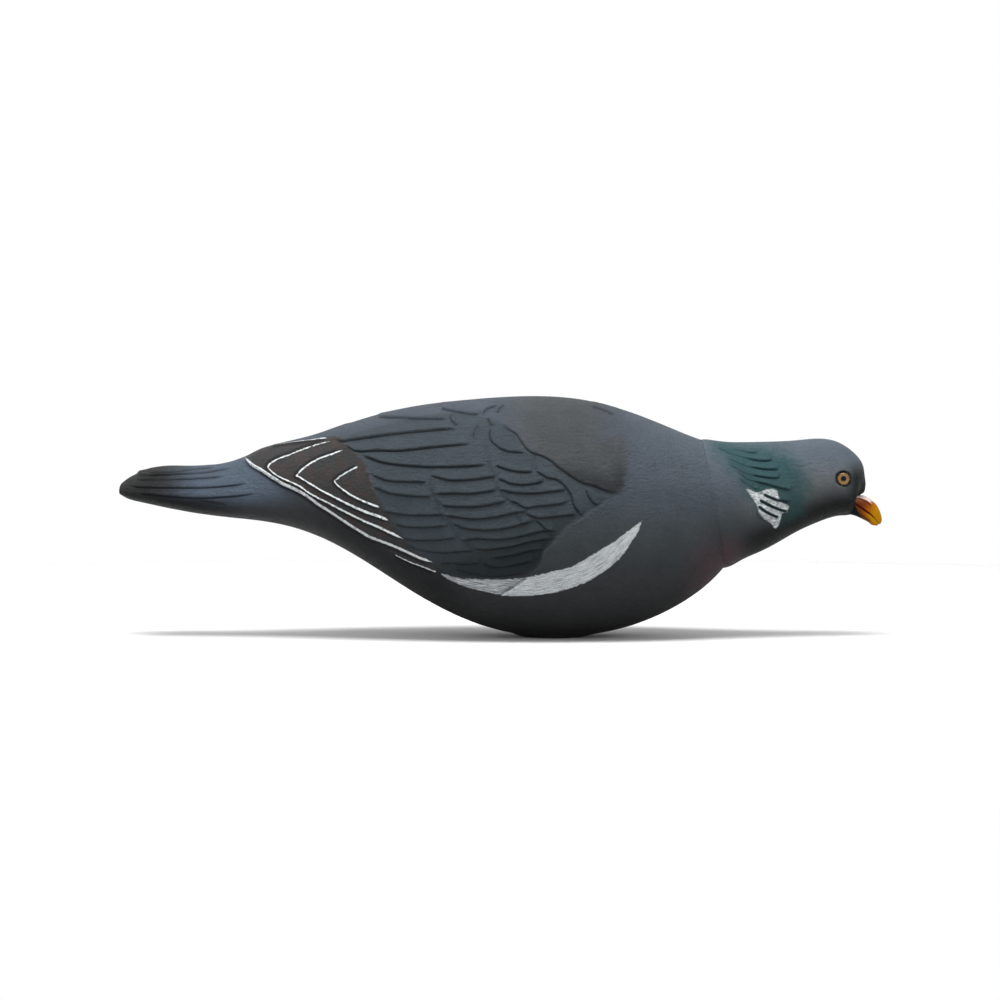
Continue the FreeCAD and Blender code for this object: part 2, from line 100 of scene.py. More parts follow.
# Angles of the rays, from the top down, which stop just short of the plane of symmetry
BODY_ANGLES = np.radians(np.linspace(0.3, 179.7, 260))
HEAD_ANGLES = np.radians(np.linspace(0.4, 179.6, 240))
# The belly's hole cuts a row below this height only, and the columns are closer above these heights
CUT_BELOW, HOLE_MARGIN = 30.0, 0.1
COLUMNS_CLOSER = (8, 22)
# The beak leaves the head where rays of this length end beyond this x, within this y and below this z
FACE_REACH, BEAK_ROOT = 14.0, (152.5, 5.2, 77.0)
# Rounds of averaging that close a hole in a grid, and rounds that settle the broad heights
FILL_ROUNDS, SETTLING_ROUNDS = 600, 5
# Edges that bend more than this are shaded sharp
SHARP_ANGLE = math.radians(62)
# A reach that takes in every point of the bird
EVERYWHERE = 1e4

# Rows along the body as (start, end, spacing), with closer rows where the belly's hole begins and ends
BODY_SPANS = [
    (-229.4, -165, 1.6), (-165, -58, 1.25), (-58, -19.4, 1.3), (-19.4, -17.15, 1.1),
    (-17.15, -16.6, 0.55), (-16.6, -14.4, 1.1), (-14.4, 14.4, 1.3), (14.4, 16.6, 1.1),
    (16.6, 17.15, 0.55), (17.15, 19.4, 1.1), (19.4, 50, 1.45), (50, 84, 1.7),
]
# Centre line of the body, as (x, z)
BODY_CENTRE = [
    (-230, 78), (-200, 78), (-165, 78.5), (-130, 80), (-100, 77.5), (-60, 70), (0, 64), (40, 63),
    (84.45, 69.85),
]
# From these places on, the rows of the body and of the head lean until they lie along the neck's circle
TILT_START, HEAD_TILT_START = 15.0, 125.0
# The tip of the tail is drawn in by this much, between these places
TAIL_PULL, TAIL_PULLED = 1.4, (-200, -229)
# Rows along the head: planes to the middle of the skull, then a fan round to the forehead
HEAD_CENTRE = [(84.6, 69.87), (110, 74.5), (130, 80), (148, 83.2)]
HEAD_ROW = 0.8
FAN_ROWS = 46


def spread(start, end, t):
    """0 before start, 1 after end, and a smooth rise between."""
    t = np.clip((np.asarray(t, float) - start) / (end - start), 0, 1)
    return t * t * (3 - 2 * t)


def curve(points, steps=5):
    """A smooth curve through given points."""
    p = np.array(points, float)
    if len(p) < 3:
        return p
    p = np.vstack([2 * p[0] - p[1], p, 2 * p[-1] - p[-2]])
    t = np.linspace(0, 1, steps, endpoint=False)[:, None]
    spans = []
    for a, b, c, d in zip(p, p[1:], p[2:], p[3:]):
        square, cube = 2 * a - 5 * b + 4 * c - d, 3 * b - a - 3 * c + d
        spans.append(0.5 * (2 * b + (c - a) * t + square * t**2 + cube * t**3))
    return np.vstack(spans + [p[-2:-1]])


def seen(points):
    """Where points show in the side view. Both sides of the bird are drawn alike."""
    x = points[:, 0] - VIEW_CENTRE[0]
    y = -np.abs(points[:, 1])
    z = points[:, 2] - VIEW_CENTRE[1]
    c, s = math.cos(VIEW_ELEVATION), math.sin(VIEW_ELEVATION)
    scale = VIEW_DISTANCE / (VIEW_DISTANCE + y * c - z * s)
    return np.column_stack([VIEW_CENTRE[0] + x * scale, VIEW_CENTRE[1] + (y * s + z * c) * scale])


def near(q, line, reach):
    """The points of q by a line: their indices, distances, sides (+1 above) and shares along it."""
    low, high = line.min(0) - reach, line.max(0) + reach
    found = np.nonzero(((q >= low) & (q <= high)).all(1))[0]
    p = q[found]
    lengths = np.hypot(*np.diff(line, axis=0).T)
    starts = np.concatenate([[0], np.cumsum(lengths)])
    best = np.full(len(p), 1e9)
    side, share = np.ones(len(p)), np.zeros(len(p))
    for a, b, start, length in zip(line, line[1:], starts, lengths):
        if length < 1e-6:
            continue
        d = b - a
        t = np.clip(((p - a) @ d) / length**2, 0, 1)
        off = p - a - t[:, None] * d
        distance = np.hypot(off[:, 0], off[:, 1])
        closer = distance < best
        best[closer] = distance[closer]
        side[closer] = np.where(d[0] * off[closer, 1] - d[1] * off[closer, 0] >= 0, 1, -1)
        share[closer] = (start + t[closer] * length) / starts[-1]
    return found, best, side, share


def inside(q, outline):
    """Signed distance to a closed outline, positive inside."""
    ring = np.vstack([outline, outline[:1]])
    _, distance, _, _ = near(q, ring, EVERYWHERE)
    x, y = q[:, 0], q[:, 1]
    odd = np.zeros(len(q), bool)
    for (x0, y0), (x1, y1) in zip(ring, ring[1:]):
        if y0 != y1:
            odd ^= ((y0 > y) != (y1 > y)) & (x < x0 + (y - y0) * (x1 - x0) / (y1 - y0))
    return np.where(odd, distance, -distance)


# ---------------------------------------------------------------- curves of the plumage

# White edges of the flight feathers
WING_EDGE = [(-163.4, 94.3), (-160, 90.6), (-155, 87.6), (-150, 84.3), (-143.7, 80.4), (-136.6, 77.2),
             (-130.8, 74), (-124.6, 69.4), (-118, 65.2), (-110, 59.8), (-101, 54.2), (-96.4, 51.6),
             (-88.8, 48.8), (-82, 46), (-75.3, 43), (-69.4, 40.4), (-64, 38.6)]
FEATHER_2 = [(-118, 103.2), (-124.4, 101.1), (-130.8, 99.1), (-139.8, 95.6), (-146.2, 93.2), (-150.6, 89.9),
             (-149.5, 87.6), (-145.6, 84.6), (-139.8, 81.9), (-134, 79.2), (-129.5, 76), (-124.4, 73.2),
             (-119.2, 70.6), (-110.5, 66.1), (-101, 61.4), (-92.9, 57.9), (-86, 54.7), (-79.4, 51.4)]
FEATHER_3 = [(-111.4, 98.3), (-117.5, 95.9), (-124.4, 93.4), (-131.3, 89.2), (-135.4, 84.9), (-134, 84),
             (-127.8, 80.2), (-122.2, 76.9), (-114, 72.6), (-106.4, 68.9), (-98.8, 65.6), (-91.7, 63.2),
             (-87, 61)]
FEATHER_4 = [(-103.1, 89.7), (-110.5, 85.7), (-113.7, 83.4), (-115.3, 81.4), (-110.5, 77), (-104.6, 73.4),
             (-98.2, 70.5), (-91.8, 68)]
UPPER_EDGE = [(-149.5, 100.9), (-142.4, 101.9), (-134.7, 102.9), (-127, 103.7), (-120, 104.8)]
CRESCENT_FOLD = [(-12.8, 30.4), (-17.1, 27.6), (-20.8, 25.2), (-27, 21.6)]
LOWER_EDGE = [(-83.5, 42.9), (-75.3, 38.9), (-69.4, 36.8), (-62, 33.8)]
# (curve, how far the paint lies above it, half width at its start, middle and end)
WHITE_LINES = [
    (WING_EDGE, 0.45, 0.85, 0.6, 0.6),
    (FEATHER_2, 0.0, 0.2, 0.3, 0.5),
    (FEATHER_3, 0.0, 0.25, 0.33, 0.62),
    (FEATHER_4, 0.0, 0.3, 0.3, 0.48),
    (UPPER_EDGE, 0.0, 0.4, 0.5, 0.5),
    (LOWER_EDGE, 0.1, 0.2, 0.33, 0.33),
    (CRESCENT_FOLD, 0.3, 0.2, 0.3, 0.3),
]

# The dark part of the folded wing, behind the coverts
PRIMARIES = [(-163, 94.6), (-157, 98.5), (-149.5, 101.2), (-142, 102.2), (-134.7, 103.2), (-127, 104),
             (-120, 105.1), (-114, 105.6), (-110.5, 102.5), (-104, 96.6), (-99.5, 91.5), (-97.6, 86),
             (-95.5, 79), (-91, 70), (-87, 63), (-84, 57.5), (-79, 51.5), (-74.5, 46), (-67, 40.5),
             (-60.5, 34.5), (-69, 37), (-83, 43), (-96, 50.8), (-110, 59.4), (-124.6, 69), (-143.7, 80),
             (-155, 87.2)]

# Where the coverts stand over the flight feathers, and the upper feathers of the tail over the lower ones
COVERT_EDGE = [(-105, 112.5), (-109, 109), (-113, 106), (-111, 102), (-104, 96.6), (-99.5, 91.5),
               (-97.6, 86), (-95.5, 79)]
TAIL_STEP = [(-219.6, 89), (-219.4, 86), (-216, 84.8), (-205, 85), (-190, 85.8)]

# Grooves of the wing, from the tail end forwards: (curve, depth)
WING_GROOVES = [
    ([(-116.3, 104.4), (-112, 103), (-109, 103.1), (-101, 104.4), (-89.3, 106), (-75.3, 107.6),
      (-60.7, 108.9), (-50, 109.6)], 1),
    ([(-111.3, 102), (-107.5, 99.3), (-104, 97.7), (-97.6, 97.5), (-92.9, 98), (-82.4, 97.8), (-75.3, 98.4),
      (-63.6, 99.7), (-42.3, 101.7)], 1),
    ([(-102.2, 96.2), (-96.4, 93.8), (-90.5, 91.8), (-84, 90.7), (-75.3, 89.9), (-64.8, 89.3),
      (-51.9, 89.5), (-43.8, 89.8), (-34, 90.6)], 1),
    ([(-95.8, 85.3), (-91.7, 83.5), (-86.4, 82), (-78.2, 81.6), (-66.5, 81.4)], 0.8),
    ([(-65.4, 84.9), (-60.7, 83.8), (-55.8, 82.5), (-49, 82.3), (-40.4, 82.9), (-31.8, 84.1),
      (-29.4, 83.3)], 0.9),
    ([(-29.4, 83.3), (-25.7, 82), (-22.6, 80.7), (-15.9, 79.9), (-9.7, 80.6), (-4.2, 82)], 0.9),
    ([(-95.5, 78.6), (-91.7, 77.7), (-87, 75.7), (-80, 74.6), (-72.4, 73.9), (-63.6, 73.7)], 0.8),
    ([(-63, 75.1), (-52.7, 75.4), (-43.5, 75.3), (-35.5, 76.2), (-29.1, 77.4)], 0.9),
    ([(-29.1, 77.4), (-25.7, 76.8), (-20.2, 75.7), (-11.6, 75.4), (-4.8, 75.9), (2.6, 76.8),
      (7.5, 77.3)], 0.9),
    ([(-59.8, 69.1), (-52.7, 68.5), (-44.1, 68.3), (-37.3, 68.8), (-30.6, 70), (-23.8, 71.6)], 0.9),
    ([(-23.8, 71.6), (-19.5, 70.6), (-17.1, 68.9), (-13.4, 67.6), (-9.7, 68.4), (-2.4, 69.1), (4.4, 70),
      (8.5, 71.4)], 0.8),
    ([(-90.5, 66.3), (-84, 64.9), (-76.5, 64), (-66.5, 63.9), (-56.5, 64.4)], 0.8),
    ([(-58.8, 64), (-52.7, 63.2), (-44.1, 62), (-37.3, 62.1), (-28.1, 63.3), (-19.5, 65.3),
      (-12.8, 66)], 0.9),
    ([(-14.6, 65.1), (-11, 63.4), (-7.3, 62.4), (-0.5, 62.9), (5.6, 63.6), (12.8, 64.2)], 0.8),
    ([(-84, 59.9), (-79.4, 58.2), (-71.8, 57.5), (-64.8, 57.6), (-55.2, 58.5)], 0.9),
    ([(-54.5, 60.1), (-49.6, 58.3), (-47.2, 57.2), (-40.4, 56.2), (-30.6, 56.2), (-22, 57.6), (-15.9, 59.3),
      (-9.3, 61.3)], 0.9),
    ([(-80, 52.3), (-75.3, 51.1), (-68.3, 50.6), (-60.1, 50.9), (-50.1, 52.2)], 0.9),
    ([(-50.1, 52.2), (-47.5, 50.6), (-44.7, 51), (-39.2, 51.6), (-31.8, 51), (-25.7, 51.3), (-19.5, 52.2),
      (-11.6, 54), (-4.8, 55.6), (2.4, 55.7)], 0.9),
    ([(-76.5, 49.3), (-72.9, 46.6), (-66.5, 44.9), (-57.7, 44.1), (-49.6, 44.7), (-40.4, 45.2)], 0.9),
    ([(-42.3, 46.4), (-35.5, 45.7), (-30.6, 46.1), (-22, 47.3), (-12.8, 49.7), (-6, 50.9), (0.6, 51.4)], 1),
    ([(-33, 41.3), (-25.1, 42.1), (-18.3, 43.5), (-12.2, 45), (-4.8, 45.9)], 1),
    ([(-60.1, 38.8), (-49.6, 38.4), (-44.1, 38.2), (-38, 38.9)], 0.9),
    ([(-38, 38.9), (-33, 37), (-28.1, 36.5), (-20.8, 37.5), (-15.3, 38.7), (-8.6, 40.2)], 1),
    ([(-53.1, 36.1), (-46.6, 34.4), (-40.4, 32.9), (-33, 31.7), (-25.7, 32), (-19.5, 32.8),
      (-13.4, 34)], 0.9),
    ([(-93.5, 116.4), (-90.5, 115.8), (-81.2, 115.4), (-72.4, 114.9), (-56, 114.6)], 0.7),
]
# Where the rows of feathers begin, only just to be seen
SOFT_EDGES = [
    ([(-34.5, 102.8), (-34.5, 96.4), (-32.9, 90.5), (-31.2, 84.1)], 0.6),
    ([(-31.2, 84.1), (-30.4, 80.5), (-28.5, 77.6)], 0.5),
    ([(-63.8, 84), (-64.2, 78.5), (-62.5, 73.5), (-60.3, 69)], 0.6),
    ([(-60.3, 69), (-59.8, 65.5), (-56, 60.5)], 0.5),
    ([(-28.5, 77.6), (-26.5, 74.5), (-23.8, 71.6)], 0.5),
    ([(-8.6, 96), (-9.6, 92), (-9.9, 88.2)], 0.5),
    ([(-54.5, 60.1), (-52.5, 56), (-50.5, 52.3)], 0.5),
    ([(-19.5, 65.5), (-17.2, 62), (-15.8, 59.4)], 0.5),
    ([(-45, 50), (-43.8, 47.6), (-42.6, 45.8)], 0.5),
]
# Edges of the small feathers on the shoulder and the back
SCALE_EDGES = [
    ([(-59.8, 120.4), (-55.8, 119.5), (-50.2, 118.4), (-44.1, 117.4), (-38.3, 117.3)], 0.7),
    ([(-53.3, 117.6), (-54, 115.5), (-53, 113.3), (-50.5, 111.2)], 0.6),
    ([(-37, 117), (-35.8, 119.2), (-33, 120.8), (-29.5, 121.4)], 0.6),
    ([(-29.4, 117.8), (-28.1, 120.4), (-25.5, 122.2)], 0.5),
    ([(-34.6, 115.5), (-33, 112.4), (-32, 111)], 0.6),
    ([(-38.6, 111.8), (-41.3, 108.1), (-42, 104.8)], 0.6),
    ([(-32.4, 110.6), (-33.2, 106.9), (-32.4, 103.2), (-30, 100.7), (-26.9, 98.7), (-23.8, 97.6),
      (-20.8, 97.2), (-14.5, 96.8)], 0.8),
    ([(-30.5, 90.2), (-25.1, 88.3), (-19.5, 87), (-14, 86.6), (-10.4, 86.9)], 0.9),
    ([(-9.7, 87.8), (-4.8, 84.8), (-2.4, 83.5), (1.3, 82.9), (4.4, 81.2), (6.9, 78.6), (9.9, 74.3),
      (11.1, 69.4), (14.2, 65.1), (16.4, 63.1)], 0.8),
    ([(-9.1, 61.4), (-6, 59), (-3.6, 56.6), (0.1, 55.6)], 0.7),
    ([(17.8, 77.6), (18.9, 74.2), (21.3, 70.7), (24.2, 68.9)], 0.7),
    ([(20.4, 121.6), (25.3, 120.1), (29.6, 118.5), (32.6, 117)], 0.5),
]
SHOULDER_LINE = [(-28.1, 113.6), (-25.1, 110.6), (-19.5, 107.2), (-17.1, 103.8), (-14, 99.5), (-11, 97.1),
                 (-6, 95.4), (-1, 92.8), (2.6, 89.7), (6.2, 87.2), (10.5, 84.2), (16, 81.2), (22.2, 79.4),
                 (27.1, 77.4), (31.4, 76.2), (36, 75.9)]
BREAST_EDGE = [(-23, 30.3), (-16, 31.9), (-11, 34.9), (-8.4, 37), (-6.8, 39.6), (-6.2, 43.5), (-3.6, 46.2),
               (1.3, 51), (5, 54.8), (8.1, 58.3), (12.4, 60.8), (16.7, 63.3), (19.1, 65.2), (23.4, 68.3),
               (27.1, 70.9), (30.8, 73.6), (39.4, 75.1)]
SHOULDER_PATCH = [(-28, 113.6), (-19.5, 107.2), (-14, 99.5), (-6, 95.4), (2.6, 89.7), (10.5, 84.2),
                  (22.2, 79.4), (36, 76), (38.5, 85), (39, 95), (39, 105), (38, 114), (37, 124), (32, 134),
                  (-15, 136), (-30, 130), (-31, 119)]

# The small feathers of the wing
COVERTS = [(-113, 106), (-104, 96.6), (-97.6, 86), (-91, 70), (-84, 57.5), (-74.5, 46), (-62, 36),
           (-50, 31.5), (-22, 31), (-8.4, 37), (-3.6, 46.2), (8.1, 58.3), (23.4, 68.3), (36, 75.5),
           (22.2, 79.4), (6.2, 87.2), (-6, 95.4), (-17.1, 103.8), (-28.1, 113.6), (-60, 118)]

# White bar of the wing's front edge
CRESCENT_UPPER = [(-59.5, 33), (-55.8, 32.4), (-49.6, 30.8), (-40.4, 30.1), (-31.8, 29.9), (-22, 30.1),
                  (-12.2, 31.3), (-6.7, 32.6), (1.3, 34.4), (8.7, 36.3), (14.8, 39.3), (24, 44.8),
                  (33.2, 50.4), (39.4, 55.3), (47.2, 61)]
CRESCENT_LOWER = [(47.2, 61), (45.6, 55.3), (41.8, 49.8), (38.8, 44.8), (33.9, 39.3), (29.6, 35.6),
                  (22.2, 30.8), (17.9, 28.3), (8.7, 24.9), (-0.5, 22.5), (-9.7, 21.3), (-18.3, 21.1),
                  (-26.9, 21.6), (-34.3, 23), (-42.9, 25), (-49.6, 27.2), (-57, 30.8), (-59.5, 33)]
CRESCENT_MIDDLE = [(-59, 33), (-50, 29), (-40, 27.3), (-27, 25.8), (-12, 26), (0, 28.3), (10, 31),
                   (20, 35.8), (30, 42.5), (38, 50), (44, 56.5), (47.2, 61)]

TAIL_GROOVES = [
    ([(-215, 86), (-200.2, 86.5), (-195, 87.2), (-185.4, 88.5), (-178.3, 89)], 0.6),
    ([(-214.3, 84.6), (-200.2, 85.4), (-185.4, 86.2), (-178.3, 87.3), (-170, 88.9)], 0.7),
    ([(-221, 82.4), (-207.9, 82.6), (-195, 82.9), (-182.2, 83.6), (-173.5, 84.5)], 0.8),
    ([(-225, 79.8), (-217.5, 78.5), (-198.9, 78.3), (-186.7, 78.3), (-177.7, 78.8), (-169.3, 79.6),
      (-161.5, 80.8)], 0.9),
    ([(-220, 75.5), (-205, 74), (-189, 72.9), (-175.8, 73.4), (-166.8, 74.1), (-157, 75.4)], 0.9),
    ([(-187.3, 71.9), (-182.2, 71.1), (-172.6, 69.8)], 0.6),
]

NECK_GROOVES = [
    ([(95, 99.2), (100, 98), (104, 96.8), (108.8, 96.5)], 0.7),
    ([(86, 100.4), (91, 98.2), (93.5, 96.8), (98, 95.6), (105, 93.4), (111, 92.4), (117, 92.9)], 0.9),
    ([(92.5, 94.3), (96, 92.9), (100, 91), (105, 89.4), (112, 88.1), (120, 88)], 0.9),
    ([(93, 91.5), (97, 89), (101, 86.8), (105.5, 85.2), (112, 83.9), (117, 83.5), (121, 84.2)], 0.9),
    ([(96.5, 88), (100.5, 85.2), (103, 83.3), (108, 81.5), (114, 80.2), (120, 78.5), (127, 77.2)], 0.9),
    ([(98.5, 84), (102, 81), (105.5, 78.9), (109, 77.2)], 0.8),
    ([(107.6, 66), (109, 63.4), (111.5, 61.6), (115, 60.9)], 0.8),
]
PATCH_GROOVES = [
    ([(111, 75.3), (115, 73.5), (119, 72), (123, 71.5), (126, 71)], 0.9),
    ([(109, 72.3), (113, 70.2), (117, 68.3), (121, 66.8), (125.5, 65.6)], 1),
    ([(108.7, 69.2), (111, 67.2), (114, 65.3), (117, 63.9), (120.6, 62.5)], 1),
]
NECK_PATCH = [(102.3, 77.5), (104, 77.8), (108.5, 75.9), (112, 77.2), (116.5, 78), (119.3, 76.6),
              (119.4, 74.9), (121, 71), (124.8, 69.2), (125.2, 67.9), (124, 66.4), (125, 65.4),
              (121.8, 64.7), (120.6, 60.5), (119.2, 57.6), (117.6, 56.8), (115.5, 59.6), (112.5, 61.2),
              (109.6, 64.8), (108.2, 68.6), (105.5, 73.2)]
GREEN_PATCH = [(84, 103), (93, 92), (98, 84), (103, 77), (107, 70), (112, 64), (122, 62), (132, 68),
               (135, 78), (131, 88), (124, 96), (112, 99.5), (98, 102)]
LORE_LINE = [(158.8, 73.2), (161, 74), (163, 75.1), (164.9, 76.8), (165.4, 79)]

# ---------------------------------------------------------------- grids over the CAD shells


def tree_of(*names):
    """A search tree over the faces of CAD nodes."""
    points, faces = [], []
    for name in names:
        mesh = frame["nodes"][name].data
        start = len(points)
        points += [v.co * 1000 for v in mesh.vertices]
        faces += [[start + i for i in p.vertices] for p in mesh.polygons]
    return BVHTree.FromPolygons(points, faces)


def radial_grid(tree, rows, angles):
    """Where rays meet the right side, for rows of (centre, up, forward share) and angles from the top."""
    radii = np.full((len(rows), len(angles)), np.nan)
    directions = np.zeros((len(rows), len(angles), 3))
    for i, (centre, up, forward) in enumerate(rows):
        around = np.outer(np.cos(angles), up) + np.outer(np.sin(angles), SIDEWAYS)
        d = around * math.sqrt(1 - forward**2) + np.array([forward, 0, 0])
        d /= np.linalg.norm(d, axis=1)[:, None]
        directions[i] = d
        for k, ray in enumerate(d):
            hit = tree.ray_cast(Vector(centre + ray * RAY_REACH), Vector(-ray))
            if hit[0] is not None and hit[3] < RAY_REACH - NEAREST_HIT:
                radii[i, k] = RAY_REACH - hit[3]
    centres = np.array([row[0] for row in rows])
    return centres[:, None, :], directions, radii


def fill(radii, bad):
    """Closes holes in a grid of radii by averaging across them."""
    radii = radii.copy()
    radii[bad] = np.nanmean(radii[~bad])
    for _ in range(FILL_ROUNDS):
        padded = np.pad(radii, 1, mode="edge")
        mean = (padded[:-2, 1:-1] + padded[2:, 1:-1] + padded[1:-1, :-2] + padded[1:-1, 2:]) / 4
        radii[bad] = mean[bad]
    return radii


def even_out(points, passes=2):
    """Smooths a grid along both of its directions, with its edges kept."""
    for _ in range(passes):
        points[1:-1] = (points[:-2] + 2 * points[1:-1] + points[2:]) / 4
        points[:, 1:-1] = (points[:, :-2] + 2 * points[:, 1:-1] + points[:, 2:]) / 4
    return points


def resample(line, count, weights=None):
    """Points spaced evenly along a line, or closer where the weight is larger."""
    steps = np.linalg.norm(np.diff(line, axis=0), axis=1)
    if weights is not None:
        steps = steps * (weights[1:] + weights[:-1]) / 2
    along = np.concatenate([[0], np.cumsum(steps)])
    wanted = np.linspace(0, along[-1], count)
    return np.column_stack([np.interp(wanted, along, line[:, k]) for k in range(3)])


def normals_of(points):
    """Outward normals of a grid whose rows run forwards and whose columns run down the right side."""
    along = np.gradient(points, axis=0)
    down = np.gradient(points, axis=1)
    n = np.cross(down, along)
    n[:, 0, 1] = 0
    ends = np.abs(points[:, -1, 1]) < 1e-6
    n[ends, -1, 1] = 0
    return n / np.maximum(np.linalg.norm(n, axis=2), 1e-9)[:, :, None]


def circle(centre, up, radius, angles):
    return centre + radius * (np.outer(np.cos(angles), up) + np.outer(np.sin(angles), SIDEWAYS))


def leaning(tilt):
    """The upward direction of a row that leans back by an angle."""
    return np.array([-math.sin(tilt), 0, math.cos(tilt)])


def body_grid():
    tree = tree_of("left_body_shell", "right_body_shell")
    stops = [np.linspace(a, b, max(2, round((b - a) / step) + 1))[:-1] for a, b, step in BODY_SPANS]
    xs = np.concatenate(stops)
    zs = np.interp(xs, *np.array(BODY_CENTRE).T)
    tilts = NECK_TILT * spread(TILT_START, NECK_CENTRE[0], xs)
    rows = [(np.array([x, 0, z]), leaning(tilt), 0.0) for x, z, tilt in zip(xs, zs, tilts)]
    centres, directions, radii = radial_grid(tree, rows, BODY_ANGLES)
    points = centres + directions * fill(radii, np.isnan(radii))[:, :, None]
    points[:, [0, -1], 1] = 0
    points[:, :, 0] += TAIL_PULL * spread(*TAIL_PULLED, points[:, :, 0])
    grid = []
    for x, line in zip(xs, even_out(points)):
        if abs(x) < BELLY_HOLE_R - 0.01:
            edge = math.sqrt(BELLY_HOLE_R**2 - x * x)
            kept = (line[:, 2] > CUT_BELOW) | (line[:, 1] < -edge - HOLE_MARGIN)
            line = np.vstack([line[kept], [[x, -edge, 0.0]]])
        weights = 0.5 + 0.5 * spread(*COLUMNS_CLOSER, line[:, 2])
        grid.append(resample(line, BODY_COLUMNS, weights))
    neck = circle(NECK_CENTRE, NECK_UP, NECK_R, np.linspace(0, math.pi, BODY_COLUMNS))
    return np.array(grid + [neck])


def head_grid():
    """Rows run from the forehead back to the neck, so that the last row is the neck's circle."""
    tree = tree_of("left_head_shell", "right_head_shell")
    line = curve([(x, 0, z) for x, z in HEAD_CENTRE], 40)
    line = resample(line, round((HEAD_CENTRE[-1][0] - HEAD_CENTRE[0][0]) / HEAD_ROW))
    fan = [math.sin(a) for a in np.radians(np.linspace(88, 0, FAN_ROWS))[:-1]]
    rows = [(line[-1], np.array([0, 0, 1.0]), share) for share in fan]
    for centre in line[::-1][:-1]:
        tilt = NECK_TILT * spread(HEAD_TILT_START, NECK_CENTRE[0], centre[0])
        rows.append((centre, leaning(tilt), 0.0))
    centres, directions, radii = radial_grid(tree, rows, HEAD_ANGLES)
    ahead = centres + directions * FACE_REACH
    x, y, z = BEAK_ROOT
    beak_hole = (ahead[:, :, 0] > x) & (np.abs(ahead[:, :, 1]) < y) & (ahead[:, :, 2] < z)
    bad = np.isnan(radii) | beak_hole
    points = centres + directions * fill(radii, bad)[:, :, None]
    points[:, [0, -1], 1] = 0
    points = shape_face(even_out(points, 1))
    grid = [resample(row, HEAD_COLUMNS) for row in points]
    half = np.linspace(0, math.pi, HEAD_COLUMNS)
    neck = circle(NECK_CENTRE + NECK_AXIS * NECK_GAP, NECK_UP, NECK_R, half)
    return np.array(grid + [neck])


def shape_face(points):
    """Draws the forehead down over the beak and the chin out under it: (place, push, radius)."""
    pushes = [
        ((164.3, 0, 77.2), (1.2, 0, -1.7), 3.0),
        ((160.3, 0, 72.4), (-0.6, 0, 1.0), 2.0),
        ((160.2, -4.6, 72.4), (-2.8, 1.2, 1.2), 2.6),
        ((157.6, 0, 65.6), (3.4, 0, -0.9), 3.4),
        ((167.5, 0, 83), (-1.1, 0, 0), 7.0),
    ]
    for place, push, radius in pushes:
        distance = np.linalg.norm(points - place, axis=2)
        points = points + np.exp(-((distance / radius) ** 2))[:, :, None] * push
    return points


def cubic(t):
    """Weights of four neighbours for a smooth join."""
    square, cube = t**2, t**3
    middle = [3 * cube - 5 * square + 2, -3 * cube + 4 * square + t]
    return 0.5 * np.stack([-cube + 2 * square - t, *middle, cube - square])


def smooth_at(grid, places):
    """A grid's values at fractional (row, column) places."""
    rows, columns = grid.shape[:2]
    i = np.minimum(places[:, 0].astype(int), rows - 2)
    j = np.minimum(places[:, 1].astype(int), columns - 2)
    by_row, by_column = cubic(places[:, 0] - i), cubic(places[:, 1] - j)
    value = np.zeros((len(places), 3))
    for a in range(4):
        for b in range(4):
            corner = grid[np.clip(i + a - 1, 0, rows - 1), np.clip(j + b - 1, 0, columns - 1)]
            value += (by_row[a] * by_column[b])[:, None] * corner
    return value


class Surface:
    """A grid's smooth surface, whose cells are split where the drawn lines run.

    The grid's rows run forwards where outward is 1, and backwards where it is -1.
    """

    def __init__(self, grid, outward, lines, broad=None):
        self.grid = grid
        self.outward = outward
        self.normals = normals_of(grid) * outward
        self.broad = broad
        rows, columns = grid.shape[:2]
        mesh = bmesh.new()
        corners = [mesh.verts.new((i, j, 0)) for i in range(rows) for j in range(columns)]
        for i in range(rows - 1):
            for k in range(i * columns, i * columns + columns - 1):
                mesh.faces.new((corners[k], corners[k + columns], corners[k + columns + 1], corners[k + 1]))
        self.measure(mesh)
        for reach in SPLIT_REACHES:
            self.split(mesh, lines, reach)
            self.measure(mesh)
        self.faces = [[v.index for v in face.verts] for face in mesh.faces]
        mesh.free()

    def measure(self, mesh):
        """Places, points and broad heights of all the corners."""
        mesh.verts.index_update()
        places = np.array([v.co[:2] for v in mesh.verts])
        self.base = smooth_at(self.grid, places)
        normal = smooth_at(self.normals, places)
        self.normal = normal / np.linalg.norm(normal, axis=1)[:, None]
        self.height = np.zeros(len(places))
        for _ in range(SETTLING_ROUNDS if self.broad else 0):
            self.height = (self.height + self.broad(self.seen(), self.base)) / 2

    def seen(self):
        return seen(self.base + self.normal * self.height[:, None])

    def split(self, mesh, lines, reach):
        q = self.seen()
        close = np.zeros(len(q), bool)
        for line in lines:
            found, distance, _, _ = near(q, line, reach)
            close[found[distance < reach]] = True
        chosen = [face for face in mesh.faces if any(close[v.index] for v in face.verts)]
        edges = {edge for face in chosen for edge in face.edges if not edge.is_boundary}
        bmesh.ops.subdivide_edges(mesh, edges=list(edges), cuts=1, use_grid_fill=True)


# ---------------------------------------------------------------- relief


# Feathers stand proud over this reach. Their grooves lie this far under their lines
PROUD_REACH, GROOVE_DROP = 6.0, 0.12
# How soft the step of a feather's edge is
STEP_SOFTNESS = 0.16
# The shadow under a white feather edge: how far below its line, and its width
SHADOW_DROP, SHADOW_WIDTH = 1.1, 0.7
# White edges have their full width where the surface faces the side by this share or more
WHITE_FACING = 0.7


def falling(distance, reach):
    """1 on a line, falling smoothly to 0 at the reach."""
    return np.clip(1 - distance / reach, 0, 1) ** 2


